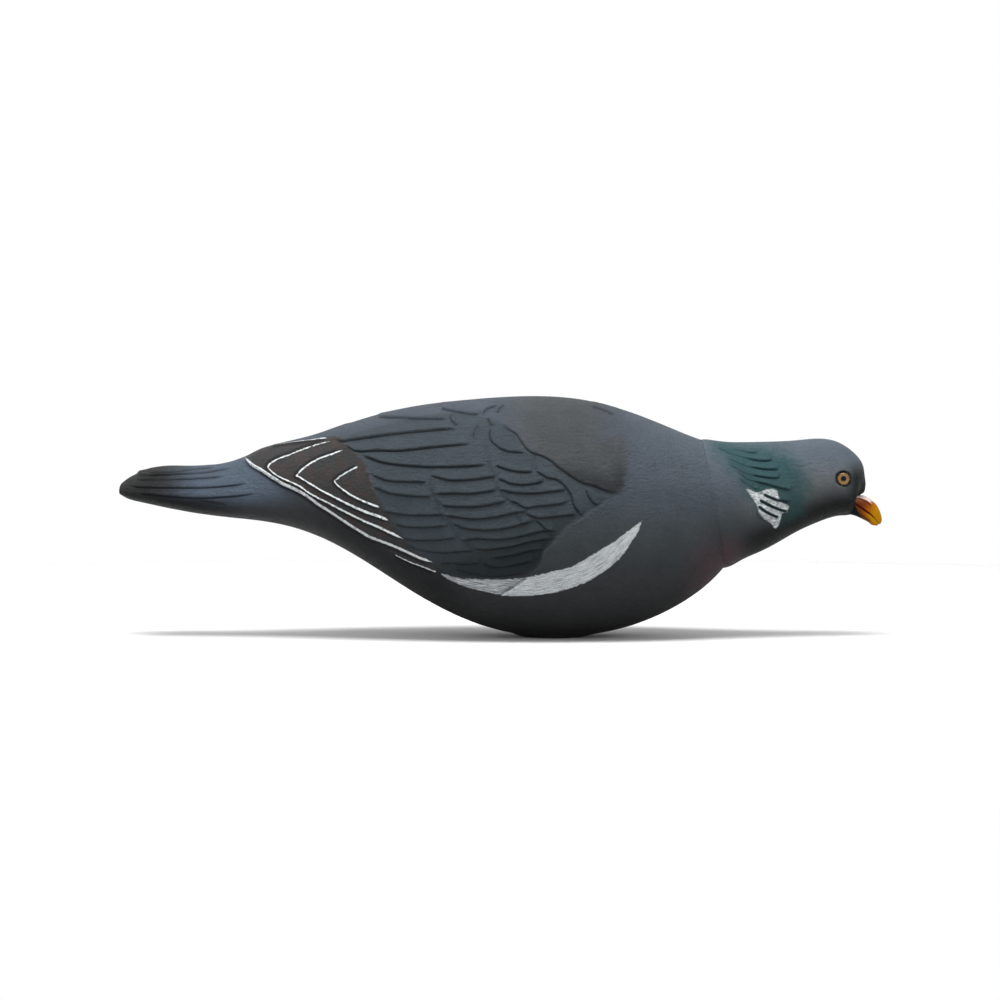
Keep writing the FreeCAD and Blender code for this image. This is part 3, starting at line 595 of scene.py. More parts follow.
def tapered(share, start=0.1, end=0.1):
    """1 along a line, falling to 0 over these shares of it at its two ends."""
    return spread(0, start, share) * spread(0, end, 1 - share)


def cut_groove(q, height, points, depth, width=0.4, edge=1.25):
    """A groove, with the feather above it standing a little proud of the one below."""
    found, distance, side, share = near(q, curve(points), PROUD_REACH)
    offset = side * distance
    step = 1 + np.exp(np.clip(-offset / STEP_SOFTNESS, -30, 30))
    proud = falling(distance, PROUD_REACH) / step
    groove = np.exp(-(((offset + GROOVE_DROP) / width) ** 2))
    height[found] += tapered(share, 0.07, 0.07) * depth * (edge * proud - 0.6 * groove)


def raise_edge(q, height, points, amount, reach, sharp=0.25, start=0.06, end=0.06, upper=True):
    """A step along a curve: the upper or the lower side stands proud, and falls away over the reach."""
    found, distance, side, share = near(q, curve(points), reach)
    offset = np.clip((side if upper else -side) * distance / sharp, -30, 30)
    height[found] += amount * tapered(share, start, end) * falling(distance, reach) / (1 + np.exp(-offset))


def body_broad(q, points):
    """The large steps of the moulding."""
    height = np.zeros(len(q))
    raise_edge(q, height, WING_EDGE + LOWER_EDGE[-1:], 1.7, 24, start=0.02, end=0.3)
    raise_edge(q, height, BREAST_EDGE, 1.5, 26, sharp=0.3, start=0.2, end=0.15, upper=False)
    raise_edge(q, height, SHOULDER_LINE, 1.2, 22, sharp=0.3, start=0.15, end=0.1)
    raise_edge(q, height, COVERT_EDGE, 0.7, 16, sharp=0.5, start=0.1, end=0.2, upper=False)
    raise_edge(q, height, TAIL_STEP, 1.3, 12, sharp=0.3, start=0.02, end=0.5)
    return height * edge_fade(points)


def edge_fade(points):
    """Nothing is raised beside the belly plate or at the neck's edge."""
    to_neck = np.linalg.norm(points - NECK_CENTRE, axis=1) - NECK_R
    return spread(0.2, 2, points[:, 2]) * spread(-2, 3, to_neck)


def body_relief(q):
    """The small steps and grooves of the feathers."""
    height = np.zeros(len(q))
    for points, amount in ((FEATHER_2, 0.5), (FEATHER_3, 0.5), (FEATHER_4, 0.45)):
        raise_edge(q, height, points, amount, 7, start=0.04, upper=False)
    raise_edge(q, height, UPPER_EDGE, 0.5, 6, start=0.1, end=0.2, upper=False)
    raise_edge(q, height, LOWER_EDGE, 0.5, 5)
    raise_edge(q, height, CRESCENT_LOWER[::-1], 0.35, 6, sharp=0.4, start=0.1, end=0.1)
    raise_edge(q, height, CRESCENT_FOLD, 0.7, 6, start=0.1, end=0.1)
    for points, depth in WING_GROOVES + SCALE_EDGES:
        cut_groove(q, height, points, depth)
    for points, depth in SOFT_EDGES:
        cut_groove(q, height, points, depth, width=0.7)
    for points, depth in TAIL_GROOVES:
        cut_groove(q, height, points, depth, edge=0.6)
    cut_groove(q, height, SHOULDER_LINE, 1.2, width=0.6, edge=0.1)
    cut_groove(q, height, BREAST_EDGE, 0.5, width=0.5, edge=0.0)
    return height


def head_relief(q):
    height = np.zeros(len(q))
    for line, depth in NECK_GROOVES + PATCH_GROOVES:
        cut_groove(q, height, line, depth)
    raise_edge(q, height, LORE_LINE, 0.5, 4.0, start=0.1, end=0.3)
    return height


def darkness(q, lines, width=0.33):
    """How deep in a groove each point lies, from 0 to 1, as the mask for the shade painted along it."""
    dark = np.zeros(len(q))
    for points, depth in lines:
        found, distance, side, share = near(q, curve(points), 2.5)
        ends = tapered(share, 0.1, 0.14)
        narrowed = width * (0.45 + 0.55 * ends)
        across = side * distance + GROOVE_DROP
        deep = ends * min(1, depth) * np.exp(-((across / narrowed) ** 2))
        dark[found] = np.maximum(dark[found], deep)
    return dark


def white_lines(q, facing):
    """Signed distance into the white feather edges, positive on paint and thin where they face up."""
    paint = np.full(len(q), -9.0)
    for points, shift, first, middle, last in WHITE_LINES:
        found, distance, side, share = near(q, curve(points), 9)
        half = np.interp(share, [0, 0.02, 0.5, 0.97, 1], [0, first, middle, last, 0.1])
        half = half * spread(0, WHITE_FACING, facing[found])
        paint[found] = np.maximum(paint[found], half - np.abs(side * distance - shift))
    return paint


def under_shadow(q):
    """The dark line that runs under each white feather edge."""
    dark = np.zeros(len(q))
    for points, *_ in WHITE_LINES:
        found, distance, side, share = near(q, curve(points), 5)
        across = (distance - SHADOW_DROP) / SHADOW_WIDTH
        deep = tapered(share, 0.05, 0.05) * (side < 0) * np.exp(-(across**2))
        dark[found] = np.maximum(dark[found], deep)
    return dark


# ---------------------------------------------------------------- meshes


def front_faces(row, flip):
    """Closes a first row's half ring with strips from its upper to its lower half."""
    faces = []
    for j in range(len(row) // 2):
        face = list(dict.fromkeys([row[j], row[j + 1], row[-2 - j], row[-1 - j]]))
        if len(face) > 2:
            faces.append(face[::-1] if flip else face)
    return faces


def neck_faces(outer_row, inner_row, ring_a, ring_b):
    """Joins the last rows to the rings at the neck, and the dense ring to the coarse one."""
    faces = []
    for j in range(len(outer_row) - 1):
        faces.append([outer_row[j], ring_a[j], ring_a[j + 1], outer_row[j + 1]])
    for j in range(len(inner_row) - 1):
        dense = ring_a[COARSE * j : COARSE * (j + 1) + 1]
        faces.append(dense[::-1] + ring_b[j : j + 2])
        faces.append([ring_b[j], inner_row[j], inner_row[j + 1], ring_b[j + 1]])
    return faces


def seam_faces(outer_edge, inner_edge, end_a, end_b, first_inner):
    """The wall's own face in the plane of symmetry, along the top or along the bottom."""
    faces = []
    for k in range(len(inner_edge) - 1):
        base = first_inner + COARSE * k
        faces.append(outer_edge[base : base + COARSE + 1] + [inner_edge[k + 1], inner_edge[k]])
    return faces + [[outer_edge[-1], end_a, end_b, inner_edge[-1]]]


def tip_faces(top, bottom, inner_row, first_inner):
    """Closes the solid tip, before the inner surface begins, in the plane of symmetry."""
    solid = first_inner - COARSE
    faces = [[top[i], bottom[i], bottom[i + 1], top[i + 1]] for i in range(solid)]
    last = top[solid : first_inner + 1][::-1] + bottom[solid : first_inner + 1]
    return faces + [last + [inner_row[-1], inner_row[0]]]


def sock(surface, outer, inner, rings, first_inner):
    """Points and faces of a closed half shell: outer surface, inner grid and the rings at the neck."""
    blocks = [outer, inner.reshape(-1, 3)] + rings
    starts = np.cumsum([0] + [len(block) for block in blocks]).tolist()
    rows, columns = surface.grid.shape[:2]
    out = np.arange(rows * columns).reshape(rows, columns).tolist()
    inn = np.arange(starts[1], starts[2]).reshape(inner.shape[:2]).tolist()
    ring_a, ring_b = list(range(*starts[2:4])), list(range(*starts[3:5]))
    faces = list(surface.faces)
    for here, there in zip(inn, inn[1:]):
        faces += [[here[j], here[j + 1], there[j + 1], there[j]] for j in range(len(here) - 1)]
    faces += front_faces(out[0], False) + front_faces(inn[0], True)
    faces += neck_faces(out[-1], inn[-1], ring_a, ring_b)
    (top, bottom), (inner_top, inner_bottom) = [
        [[row[side] for row in grid] for side in (0, -1)] for grid in (out, inn)
    ]
    upper = seam_faces(top, inner_top, ring_a[0], ring_b[0], first_inner)
    faces += [face[::-1] for face in upper]
    faces += seam_faces(bottom, inner_bottom, ring_a[-1], ring_b[-1], first_inner)
    faces += tip_faces(top, bottom, inn[0], first_inner)
    return np.vstack(blocks), faces


def build(name, points, faces, attributes, mirrored, material):
    """An object from points in mm, with point attributes, as it is or mirrored to the left side."""
    points = np.array(points, float)
    if mirrored:
        points = points * [1, -1, 1]
        faces = [face[::-1] for face in faces]
    mesh = bpy.data.meshes.new(name)
    mesh.from_pydata((points * MM).tolist(), [], faces)
    for key, values in attributes.items():
        full = np.zeros(len(points), np.float32)
        full[: len(values)] = values
        mesh.attributes.new(key, "FLOAT", "POINT").data.foreach_set("value", full)
    mesh.polygons.foreach_set("use_smooth", [True] * len(mesh.polygons))
    mesh.set_sharp_from_angle(angle=SHARP_ANGLE)
    mesh.update()
    piece = bpy.data.objects.new(name, mesh)
    bpy.context.scene.collection.objects.link(piece)
    mesh.materials.append(material)
    return piece


def inner_grid(surface, first_inner, last_row):
    """The inner surface: every few rows and columns of the outer grid, moved in by the wall."""
    picked = (surface.grid - surface.normals * WALL)[first_inner::COARSE, ::COARSE]
    picked[-1] = last_row
    return picked


def half_shells(kind, body, surface, relief, sock_parts, attributes, material):
    """The right and left skins of one moulding."""
    height = surface.height + relief
    columns = surface.grid.shape[1]
    grid_size = surface.grid.shape[0] * columns
    height[grid_size - columns : grid_size] = 0
    outer = surface.base + surface.normal * height[:, None]
    on_seam = np.abs(surface.base[:grid_size, 1]) < 1e-6
    outer[:grid_size][on_seam, 1] = 0
    points, faces = sock(surface, outer, *sock_parts)
    if surface.outward < 0:
        faces = [face[::-1] for face in faces]
    for side, mirrored in (("right", False), ("left", True)):
        piece = build(f"{side}_{kind}_skin", points, faces, attributes, mirrored, material)
        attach(piece, body)
        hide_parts(f"{side}_{kind}_shell")


def rows_to(first, count):
    """The first inner row at or after this one that makes the inner rows end with the outer ones."""
    return first + (count - 1 - first) % COARSE


def body_shells(material):
    grooves = WING_GROOVES + SCALE_EDGES + TAIL_GROOVES
    drawn = [line for line, *_ in grooves + WHITE_LINES]
    drawn += [SHOULDER_LINE, BREAST_EDGE, CRESCENT_UPPER, CRESCENT_LOWER, CRESCENT_FOLD, TAIL_STEP]
    surface = Surface(body_grid(), 1, [curve(line) for line in drawn], body_broad)
    q = surface.seen()
    relief = body_relief(q) * edge_fade(surface.base)
    middle = curve(CRESCENT_MIDDLE)
    _, distance, side, share = near(q, middle, EVERYWHERE)
    length = np.hypot(*np.diff(middle, axis=0).T).sum()
    attributes = {
        "up": surface.normal[:, 2],
        "white": white_lines(q, -surface.normal[:, 1]),
        "crescent": inside(q, np.vstack([curve(CRESCENT_UPPER)[:-1], curve(CRESCENT_LOWER)])),
        "bar_along": share * length,
        "bar_across": side * distance,
        "primaries": inside(q, curve(PRIMARIES + PRIMARIES[:1])),
        "patch": inside(q, curve(SHOULDER_PATCH + SHOULDER_PATCH[:1])),
        "coverts": inside(q, curve(COVERTS + COVERTS[:1])),
        "groove": darkness(q, grooves + [(SHOULDER_LINE, 1.0), (BREAST_EDGE, 0.7)]),
        "soft_groove_shade": darkness(q, grooves + SOFT_EDGES, 1.3),
        "shade": under_shadow(q),
    }
    half = np.linspace(0, math.pi, BODY_COLUMNS)
    end = NECK_CENTRE - NECK_AXIS * BULKHEAD
    ring_a = circle(NECK_CENTRE, NECK_UP, BULKHEAD_HOLE_R, half)
    ring_b = circle(end, NECK_UP, BULKHEAD_HOLE_R, half[::COARSE])
    first_inner = rows_to(FIRST_INNER_ROW, len(surface.grid))
    inner = inner_grid(surface, first_inner, circle(end, NECK_UP, NECK_R - WALL, half[::COARSE]))
    inner[:, 0, 1] = 0
    lowest = surface.grid[first_inner::COARSE, -1]
    on_seam = np.abs(lowest[:, 1]) < 1e-6
    inner[on_seam, -1, 1] = 0
    beside_hole = ~on_seam
    inner[beside_hole, -1] = lowest[beside_hole] + [0, 0, WALL]
    sock_parts = (inner, [ring_a, ring_b], first_inner)
    half_shells("body", "decoy_body", surface, relief, sock_parts, attributes, material)


def head_shells(material):
    turns = np.linspace(0, 2 * math.pi, 13)
    rim = [SEEN_EYE + EYE_R * np.array([math.cos(a), math.sin(a)]) for a in turns]
    drawn = [line for line, _ in NECK_GROOVES + PATCH_GROOVES]
    drawn += [NECK_PATCH + NECK_PATCH[:1], LORE_LINE, rim]
    surface = Surface(head_grid(), -1, [curve(line, 3) for line in drawn])
    q = surface.seen()
    to_neck = np.linalg.norm(surface.base - NECK_CENTRE, axis=1) - NECK_R
    relief = head_relief(q) * spread(0, 3, to_neck)
    attributes = {
        "up": surface.normal[:, 2],
        "groove": np.maximum(darkness(q, NECK_GROOVES), darkness(q, PATCH_GROOVES, 1.1)),
        "white": inside(q, curve(NECK_PATCH + NECK_PATCH[:1], 3)),
        "green": inside(q, curve(GREEN_PATCH + GREEN_PATCH[:1])),
        "eye": np.hypot(q[:, 0] - SEEN_EYE[0], q[:, 1] - SEEN_EYE[1]),
        "notch_shade": darkness(q, [(LORE_LINE, 1.0)], 1.2),
    }
    half = np.linspace(0, math.pi, HEAD_COLUMNS)
    start = NECK_CENTRE + NECK_AXIS * NECK_GAP
    end = start + NECK_AXIS
    ring_a = circle(start, NECK_UP, NECK_R - WALL / 2, half)
    ring_b = circle(end, NECK_UP, NECK_R - WALL / 2, half[::COARSE])
    first_inner = rows_to(FIRST_INNER_ROW, len(surface.grid))
    inner = inner_grid(surface, first_inner, circle(end, NECK_UP, NECK_R - WALL, half[::COARSE]))
    inner[:, [0, -1], 1] = 0
    sock_parts = (inner, [ring_a, ring_b], first_inner)
    half_shells("head", "head", surface, relief, sock_parts, attributes, material)


# ---------------------------------------------------------------- eyes and beak

RIGHT_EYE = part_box("right_eye_lens")
EYE_CENTRE = np.array((RIGHT_EYE[0] + RIGHT_EYE[1]) / 2) * 1000
EYE_R = (RIGHT_EYE[1].x - RIGHT_EYE[0].x) * 500
EYE_FACE_Y = -RIGHT_EYE[1].y * 1000
EYE_DOME = (RIGHT_EYE[1].y - RIGHT_EYE[0].y) * 1000
SEEN_EYE = seen(np.array([[EYE_CENTRE[0], -EYE_FACE_Y, EYE_CENTRE[2]]]))[0]
LID_R, LID_TUBE_R = 3.95, 0.25
ROUND = 72

# The beak's sections in the plane of symmetry: (top, mouth line, bottom, half width)
BEAK = [
    ((155.5, 73.2), (155.5, 70.8), (155, 65.5), 3.0),
    ((158.6, 73.9), (158.4, 70.9), (157.4, 64.3), 3.7),
    ((161.6, 74.5), (160.6, 69.9), (159.4, 63.8), 4.0),
    ((164.8, 74.3), (162.6, 68.4), (161.6, 63), 4.05),
    ((167.6, 73.1), (164.6, 66.9), (163.8, 62), 3.8),
    ((169.4, 71.4), (166.4, 65.6), (165.8, 61), 3.3),
    ((171.4, 69.7), (168.2, 64.3), (167.5, 60), 3.05),
    ((173, 67), (169.8, 62.8), (168.8, 58.9), 2.8),
    ((174.1, 64), (171.2, 61.4), (170.2, 58.4), 2.35),
    ((174.5, 61.6), (172.2, 60.3), (171.3, 58.3), 1.75),
    ((174.2, 60.1), (172.8, 59.5), (172.3, 58.4), 1.1),
    ((173.7, 59.2), (173.1, 59), (172.9, 58.6), 0.4),
]


def tube_faces(rings, count, closed):
    """Quads between rings of points, and from the last ring to the first if the tube is closed."""
    faces = []
    for i in range(rings if closed else rings - 1):
        here, there = i * count, (i + 1) % rings * count
        for k in range(count):
            k1 = (k + 1) % count
            faces.append([here + k, here + k1, there + k1, there + k])
    return faces


def eye_ring(radius, turn):
    """The x and z of a place round the right eye's centre."""
    return EYE_CENTRE[0] + radius * math.cos(turn), EYE_CENTRE[2] + radius * math.sin(turn)


def eye_dome():
    """The right eye's clear dome, with a flat back."""
    ball = (EYE_R**2 + EYE_DOME**2) / (2 * EYE_DOME)
    rim = math.asin(EYE_R / ball)
    profile = [(0.1, 0.02), (EYE_R, 0.02)]
    for a in np.linspace(rim, 0.03, 16):
        profile.append((ball * math.sin(a), ball * math.cos(a) - ball + EYE_DOME))
    points = []
    for radius, out in profile:
        for a in np.linspace(0, 2 * math.pi, ROUND, endpoint=False):
            x, z = eye_ring(radius, a)
            points.append((x, -EYE_FACE_Y - out, z))
    faces = tube_faces(len(profile), ROUND, False)
    last = (len(profile) - 1) * ROUND
    faces.append(list(range(ROUND))[::-1])
    faces.append([last + k for k in range(ROUND)])
    return points, faces


def eye_lid():
    """The dark moulded ring round the right eye, lying on the head."""
    tree = tree_of("right_head_shell")
    points, count = [], 12
    for a in np.linspace(0, 2 * math.pi, ROUND, endpoint=False):
        x, z = eye_ring(LID_R, a)
        y = tree.ray_cast(Vector((x, -60, z)), Vector((0, 1, 0)))[0].y
        for b in np.linspace(0, 2 * math.pi, count, endpoint=False):
            x, z = eye_ring(LID_R + LID_TUBE_R * math.cos(b), a)
            points.append((x, y - LID_TUBE_R * math.sin(b), z))
    return points, tube_faces(ROUND, count, True)


def mandible(name, tops, bottoms, widths, square_top, square_bottom, material):
    """A closed tube along the beak, with attributes for the place along it and down it."""
    tops, bottoms = curve(tops), curve(bottoms)
    widths = curve(list(enumerate(widths)))[:, 1]
    count = 56
    points, along, down = [], [], []
    for i, (top, bottom, width) in enumerate(zip(tops, bottoms, widths)):
        for k in range(count):
            a = 2 * math.pi * k / count
            c, s = math.cos(a), math.sin(a)
            power = 2 / (square_top if c > 0 else square_bottom)
            across = math.copysign(abs(s) ** power, s) * width
            share = 0.5 - 0.5 * math.copysign(abs(c) ** power, c)
            x, z = top + (bottom - top) * share
            points.append((x, across, z))
            along.append(i / (len(tops) - 1))
            down.append(share)
    faces = tube_faces(len(tops), count, False)
    faces.append(list(range(count))[::-1])
    faces.append([(len(tops) - 1) * count + k for k in range(count)])
    piece = build(name, points, faces, {"along": along, "down": down}, False, material)
    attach(piece, "head")
    return piece


def beak(upper_material, lower_material):
    gap = np.array([0.01, 0.01])
    widths = [w for *_, w in BEAK]
    mouth = np.array([m for _, m, _, _ in BEAK])
    upper = mandible("upper_mandible", [t for t, *_ in BEAK], mouth + gap, widths, 2.0, 7.0, upper_material)
    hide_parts("upper_beak")
    lower_rows = BEAK[:-1]
    slim = [w * 0.93 for w in widths[:-1]]
    bottoms = [b for _, _, b, _ in lower_rows]
    lower = mandible("lower_mandible", mouth[:-1] - gap, bottoms, slim, 7.0, 2.1, lower_material)
    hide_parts("lower_beak")


# ---------------------------------------------------------------- materials


def rgb(red, green, blue):
    """A linear colour from 0 to 255 screen values."""
    def linear(v):
        v /= 255
        return v / 12.92 if v <= 0.04045 else ((v + 0.055) / 1.055) ** 2.4
    return (linear(red), linear(green), linear(blue), 1.0)


class Value:
    """What a node gives. Values can be added, subtracted and multiplied."""

    def __init__(self, paint, socket):
        self.paint = paint
        self.socket = socket

    def __add__(self, other):
        return self.paint.math("ADD", self, other)

    def __sub__(self, other):
        return self.paint.math("SUBTRACT", self, other)

    def __mul__(self, other):
        return self.paint.math("MULTIPLY", self, other)


class Paint:
    """Builds one material's nodes, coat over coat. Lengths are millimetres in the bird's own frame."""

    def __init__(self, name, roughness, **sockets):
        self.material = bpy.data.materials.new(name)
        self.material.use_nodes = True
        self.tree = self.material.node_tree
        self.shader = self.tree.nodes["Principled BSDF"]
        self.shader.inputs["Roughness"].default_value = roughness
        for key, value in sockets.items():
            self.shader.inputs[key.replace("_", " ")].default_value = value
        metres = Value(self, self.tree.nodes.new("ShaderNodeTexCoord").outputs["Object"])
        self.place = self.vector_math("MULTIPLY", metres, (1000, 1000, 1000))
        self.coats = None

    def plug(self, socket, value):
        if isinstance(value, Value):
            self.tree.links.new(value.socket, socket)
        else:
            socket.default_value = value

    def add(self, kind, entries, output=0, **settings):
        """One node with its settings and its sockets filled in, and the value that it gives."""
        node = self.tree.nodes.new("ShaderNode" + kind)
        for key, setting in settings.items():
            setattr(node, key, setting)
        for key, value in entries.items():
            self.plug(node.inputs[key], value)
        return Value(self, node.outputs[output])

    def math(self, operation, *values):
        return self.add("Math", dict(enumerate(values)), operation=operation)

    def vector_math(self, operation, *values, output=0):
        return self.add("VectorMath", dict(enumerate(values)), output, operation=operation)

    def mix(self, low, high, share, kind="MIX"):
        entries = {"Factor": share, "A": low, "B": high}
        return self.add("Mix", entries, "Result", data_type="RGBA", blend_type=kind)

    def ramp(self, value, low, high):
        """A smooth rise from 0 to 1 between two values."""
        entries = {"Value": value, "From Min": low, "From Max": high}
        return self.add("MapRange", entries, "Result", interpolation_type="SMOOTHSTEP")

    def noise(self, scale, detail=3.0, roughness=0.55, stretch=(1, 1, 1), place=None):
        place = self.vector_math("MULTIPLY", place or self.place, stretch)
        entries = {"Vector": place, "Scale": scale, "Detail": detail, "Roughness": roughness}
        return self.add("TexNoise", entries, "Fac")

    def wobble(self, scale, amount, detail=3):
        """Uneven values either side of zero."""
        return (self.noise(scale, detail) - 0.5) * amount

    def attribute(self, name):
        return self.add("Attribute", {}, "Fac", attribute_name=name)

    def axis(self, letter):
        return self.add("SeparateXYZ", {0: self.place}, letter)

    def over(self, colour, share):
        """Sprays a colour over the coats so far."""
        self.coats = self.mix(self.coats, colour, share)

    def mottle(self, amount):
        """Makes the coats a little uneven, as sprayed paint is."""
        both = self.noise(0.09, 4, 0.6) * 0.45 + self.noise(1.1, 4, 0.75) * 0.55
        self.coats = self.mix(self.coats, both * (2 * amount) + (1 - amount), 1.0, "MULTIPLY")

    def rough(self, value):
        self.plug(self.shader.inputs["Roughness"], value)

    def bump(self, height, depth_mm):
        entries = {"Strength": 1.0, "Distance": depth_mm * MM, "Height": height}
        self.plug(self.shader.inputs["Normal"], self.add("Bump", entries))

    def done(self):
        self.plug(self.shader.inputs["Base Color"], self.coats)
        return self.material


# Where the beak's colour starts: x + FEATHER_SLANT * z reaches FEATHER_FRONT
FEATHER_SLANT, FEATHER_FRONT = 0.57, 199.4
# Where the white bar folds: its place along the bar less this share of its place across it
FOLD_SLANT, FOLD_AT = 1.67, 40.0

# SLATE and the three greys after it are one grey, lit and shaded: painted light on top, painted shade on the
# flanks and underneath
SLATE = rgb(59, 65, 73)
SLATE_LIT = rgb(67, 75, 82)
UNDERSIDE_SHADE = rgb(40, 41, 42)
FLANK_SHADE = rgb(53, 59, 62)
WING_GREY = rgb(50, 57, 62)
# The wing's grey in painted shade, for its lower part
WING_SHADED = rgb(30, 37, 38)
FLIGHT_GREY = rgb(44, 45, 46)
FLIGHT_BROWN = rgb(51, 46, 45)
SHOULDER_BROWN = rgb(56, 59, 61)
TAIL_DARK = rgb(29, 30, 30)
WINE = rgb(70, 47, 54)
# Near-black for painted shade and shadow (grooves, under edges, under the wing and tail, round the eye), and for
# the dark paint low on the shoulder
DARK_PAINT_AND_SHADE = rgb(11, 13, 15)
WHITE_PAINT = rgb(192, 197, 199)
WHITE_WORN = rgb(118, 123, 125)
WHITE_THIN = rgb(74, 79, 80)
RUMP_BLUE = rgb(63, 72, 83)
HEAD_GREY = rgb(68, 76, 84)
CHEEK_GREY = rgb(78, 81, 84)
# Near-black for the dark lore before the eye and at the beak's root, and for painted shade under the throat
DARK_LORE_AND_THROAT_SHADE = rgb(12, 15, 14)
GREEN = rgb(19, 55, 57)
GREEN_GROOVE_SHADE = rgb(8, 26, 30)
BEAK_RED, BEAK_PINK = rgb(92, 43, 14), rgb(136, 84, 60)
BEAK_ORANGE, BEAK_YELLOW = rgb(131, 72, 6), rgb(142, 96, 0)
BEAK_BROWN, MOUTH_RED = rgb(45, 28, 9), rgb(68, 17, 10)
CERE, NOSTRIL = rgb(190, 172, 166), rgb(60, 8, 6)


def plumage_surface(p, roughness, depth):
    """The matt finish, over brushed and pebbled moulding."""
    p.rough(p.noise(0.3, 3) * 0.2 + roughness)
    pebble = p.noise(0.55, 5, 0.78)
    strokes = p.noise(0.4, 4, 0.7, stretch=(0.45, 1, 1.5))
    p.bump(pebble * 0.7 + strokes * 0.5, depth)


def slate_lit_and_shaded(p, x, up):
    """The sprayed grey of the whole bird, with painted shade underneath and painted light on top at the front."""
    colour = p.mix(UNDERSIDE_SHADE, FLANK_SHADE, p.ramp(up, -0.75, 0.05))
    colour = p.mix(colour, SLATE, p.ramp(up, -0.35, 0.55))
    return p.mix(colour, SLATE_LIT, p.ramp(x, 30, 70) * p.ramp(up, 0.1, 0.9))


def wing_coat(p, x, z, up):
    """The small feathers, with painted shade low down, and a painted shadow under the wing's rear edge."""
    beside_wing = p.ramp(x, -40, -60) * p.ramp(x, -128, -105)
    below_wing = beside_wing * p.ramp(p.attribute("primaries"), 0.5, -1.0) * p.ramp(up, 0.1, -0.2)
    p.over(DARK_PAINT_AND_SHADE, below_wing * 0.5)
    lit = p.ramp(z + x * -0.3, 46, 72)
    p.over(p.mix(WING_SHADED, WING_GREY, lit), p.ramp(p.attribute("coverts"), -1.0, 1.5))


def shoulder_coat(p, x, z):
    """The brown of the shoulder, darkest low down, with a brushed edge that fades over the back."""
    patch = p.attribute("patch")
    brushed = p.noise(0.5, 3, 0.6, stretch=(0.3, 1, 1.6)) * 7.0
    cover = p.ramp(patch + brushed, 1.0, 6.0) * p.ramp(x, -45, 0)
    cover = cover * p.math("MAXIMUM", p.ramp(x, 42, 12), p.ramp(z, 116, 98))
    low = p.ramp(patch, 14, 2) * p.ramp(z, 98, 82)
    p.over(p.mix(SHOULDER_BROWN, DARK_PAINT_AND_SHADE, low * 0.62), cover)


def tail_coat(p, x, z, up):
    """The blue of the rump, the tail's dark tip and its shadowed underside."""
    p.over(RUMP_BLUE, p.ramp(x, -120, -160) * p.ramp(up, -0.95, 0.0))
    p.over(TAIL_DARK, p.ramp(x + p.noise(0.12) * 14.0, -174, -204))
    p.over(DARK_PAINT_AND_SHADE, p.ramp(x, -150, -190) * p.ramp(z, 77, 71) * 0.8)


def flight_coat(p):
    """The brown flight feathers, with a ragged edge."""
    brown = p.mix(FLIGHT_GREY, FLIGHT_BROWN, p.ramp(p.noise(0.12, 3), 0.4, 0.6))
    p.over(brown, p.ramp(p.attribute("primaries") + p.wobble(0.5, 5.0), -1.0, 1.2))


def white_bar(p):
    """The streaked white bar, thinner behind its fold, with specks where the paint is missing."""
    along, across = p.attribute("bar_along"), p.attribute("bar_across")
    place = p.add("CombineXYZ", {"X": along, "Y": across})
    streak = p.noise(1.0, 4, 0.75, stretch=(0.12, 4.0, 1), place=place)
    before_fold = p.mix(WHITE_WORN, WHITE_PAINT, p.ramp(streak, 0.38, 0.58))
    behind_fold = p.mix(WHITE_THIN, WHITE_PAINT, p.ramp(streak, 0.42, 0.6))
    folded = p.ramp(along + across * -FOLD_SLANT, FOLD_AT + 1, FOLD_AT - 1)
    # A painted shadow darkens the white under the fold and under the white edges
    white = p.mix(p.mix(before_fold, behind_fold, folded), DARK_PAINT_AND_SHADE, p.attribute("shade") * 0.5)
    bar = p.ramp(p.attribute("crescent") + p.wobble(0.9, 2.0, 4), -0.1, 0.5)
    specks = p.ramp(p.noise(1.4, 4, 0.75, stretch=(0.7, 1.2, 1), place=place), 0.36, 0.41)
    p.over(white, bar * p.ramp(streak, 0.24, 0.34) * specks)


def white_edges(p):
    """The hand-painted white edges of the flight feathers."""
    white = p.mix(WHITE_WORN, WHITE_PAINT, p.ramp(p.noise(0.5, 3), 0.25, 0.5))
    p.over(white, p.ramp(p.attribute("white") + p.wobble(0.8, 0.9), -0.15, 0.15))


def body_paint():
    p = Paint("body_paint", 0.62, Specular_IOR_Level=0.08)
    x, z, up = p.axis("X"), p.axis("Z"), p.attribute("up")
    p.coats = slate_lit_and_shaded(p, x, up)
    wing_coat(p, x, z, up)
    shoulder_coat(p, x, z)
    tail_coat(p, x, z, up)
    p.over(WINE, p.ramp(x, 62, 84) * p.ramp(z, 62, 36) * p.ramp(z, 8, 26) * 0.5)
    flight_coat(p)
    # Painted shadow under the white edges, painted shade in the grooves, and a wider soft painted shade round them
    for line, share in (("shade", 0.85), ("groove", 0.6), ("soft_groove_shade", 0.26)):
        p.over(DARK_PAINT_AND_SHADE, p.attribute(line) * share)
    p.mottle(0.5)
    white_bar(p)
    white_edges(p)
    plumage_surface(p, 0.5, 2.8)
    return p.done()


def face_coat(p, x, z):
    """The dark feathers before the eye, with painted shade round the eye and along the notch over the beak."""
    p.over(DARK_LORE_AND_THROAT_SHADE, p.ramp(x, 152, 160) * p.ramp(z, 96, 83) * 0.95)
    p.over(DARK_PAINT_AND_SHADE, p.ramp(p.attribute("eye"), 4.7, 4.1) * 0.5)
    p.over(DARK_PAINT_AND_SHADE, p.attribute("notch_shade") * 0.7)


def neck_patch(p, groove):
    """The worn white patch of the neck, with its grooves left bare of white, where the painted shade shows."""
    streak = p.noise(0.8, 4, 0.7, stretch=(0.5, 1, 1.2))
    white = p.mix(WHITE_THIN, WHITE_PAINT, p.ramp(streak, 0.25, 0.75))
    patch = p.ramp(p.attribute("white") + p.wobble(1.3, 1.3), -0.2, 0.5)
    p.over(white, patch * p.ramp(groove * -0.95 + 1.0, 0.25, 0.75))


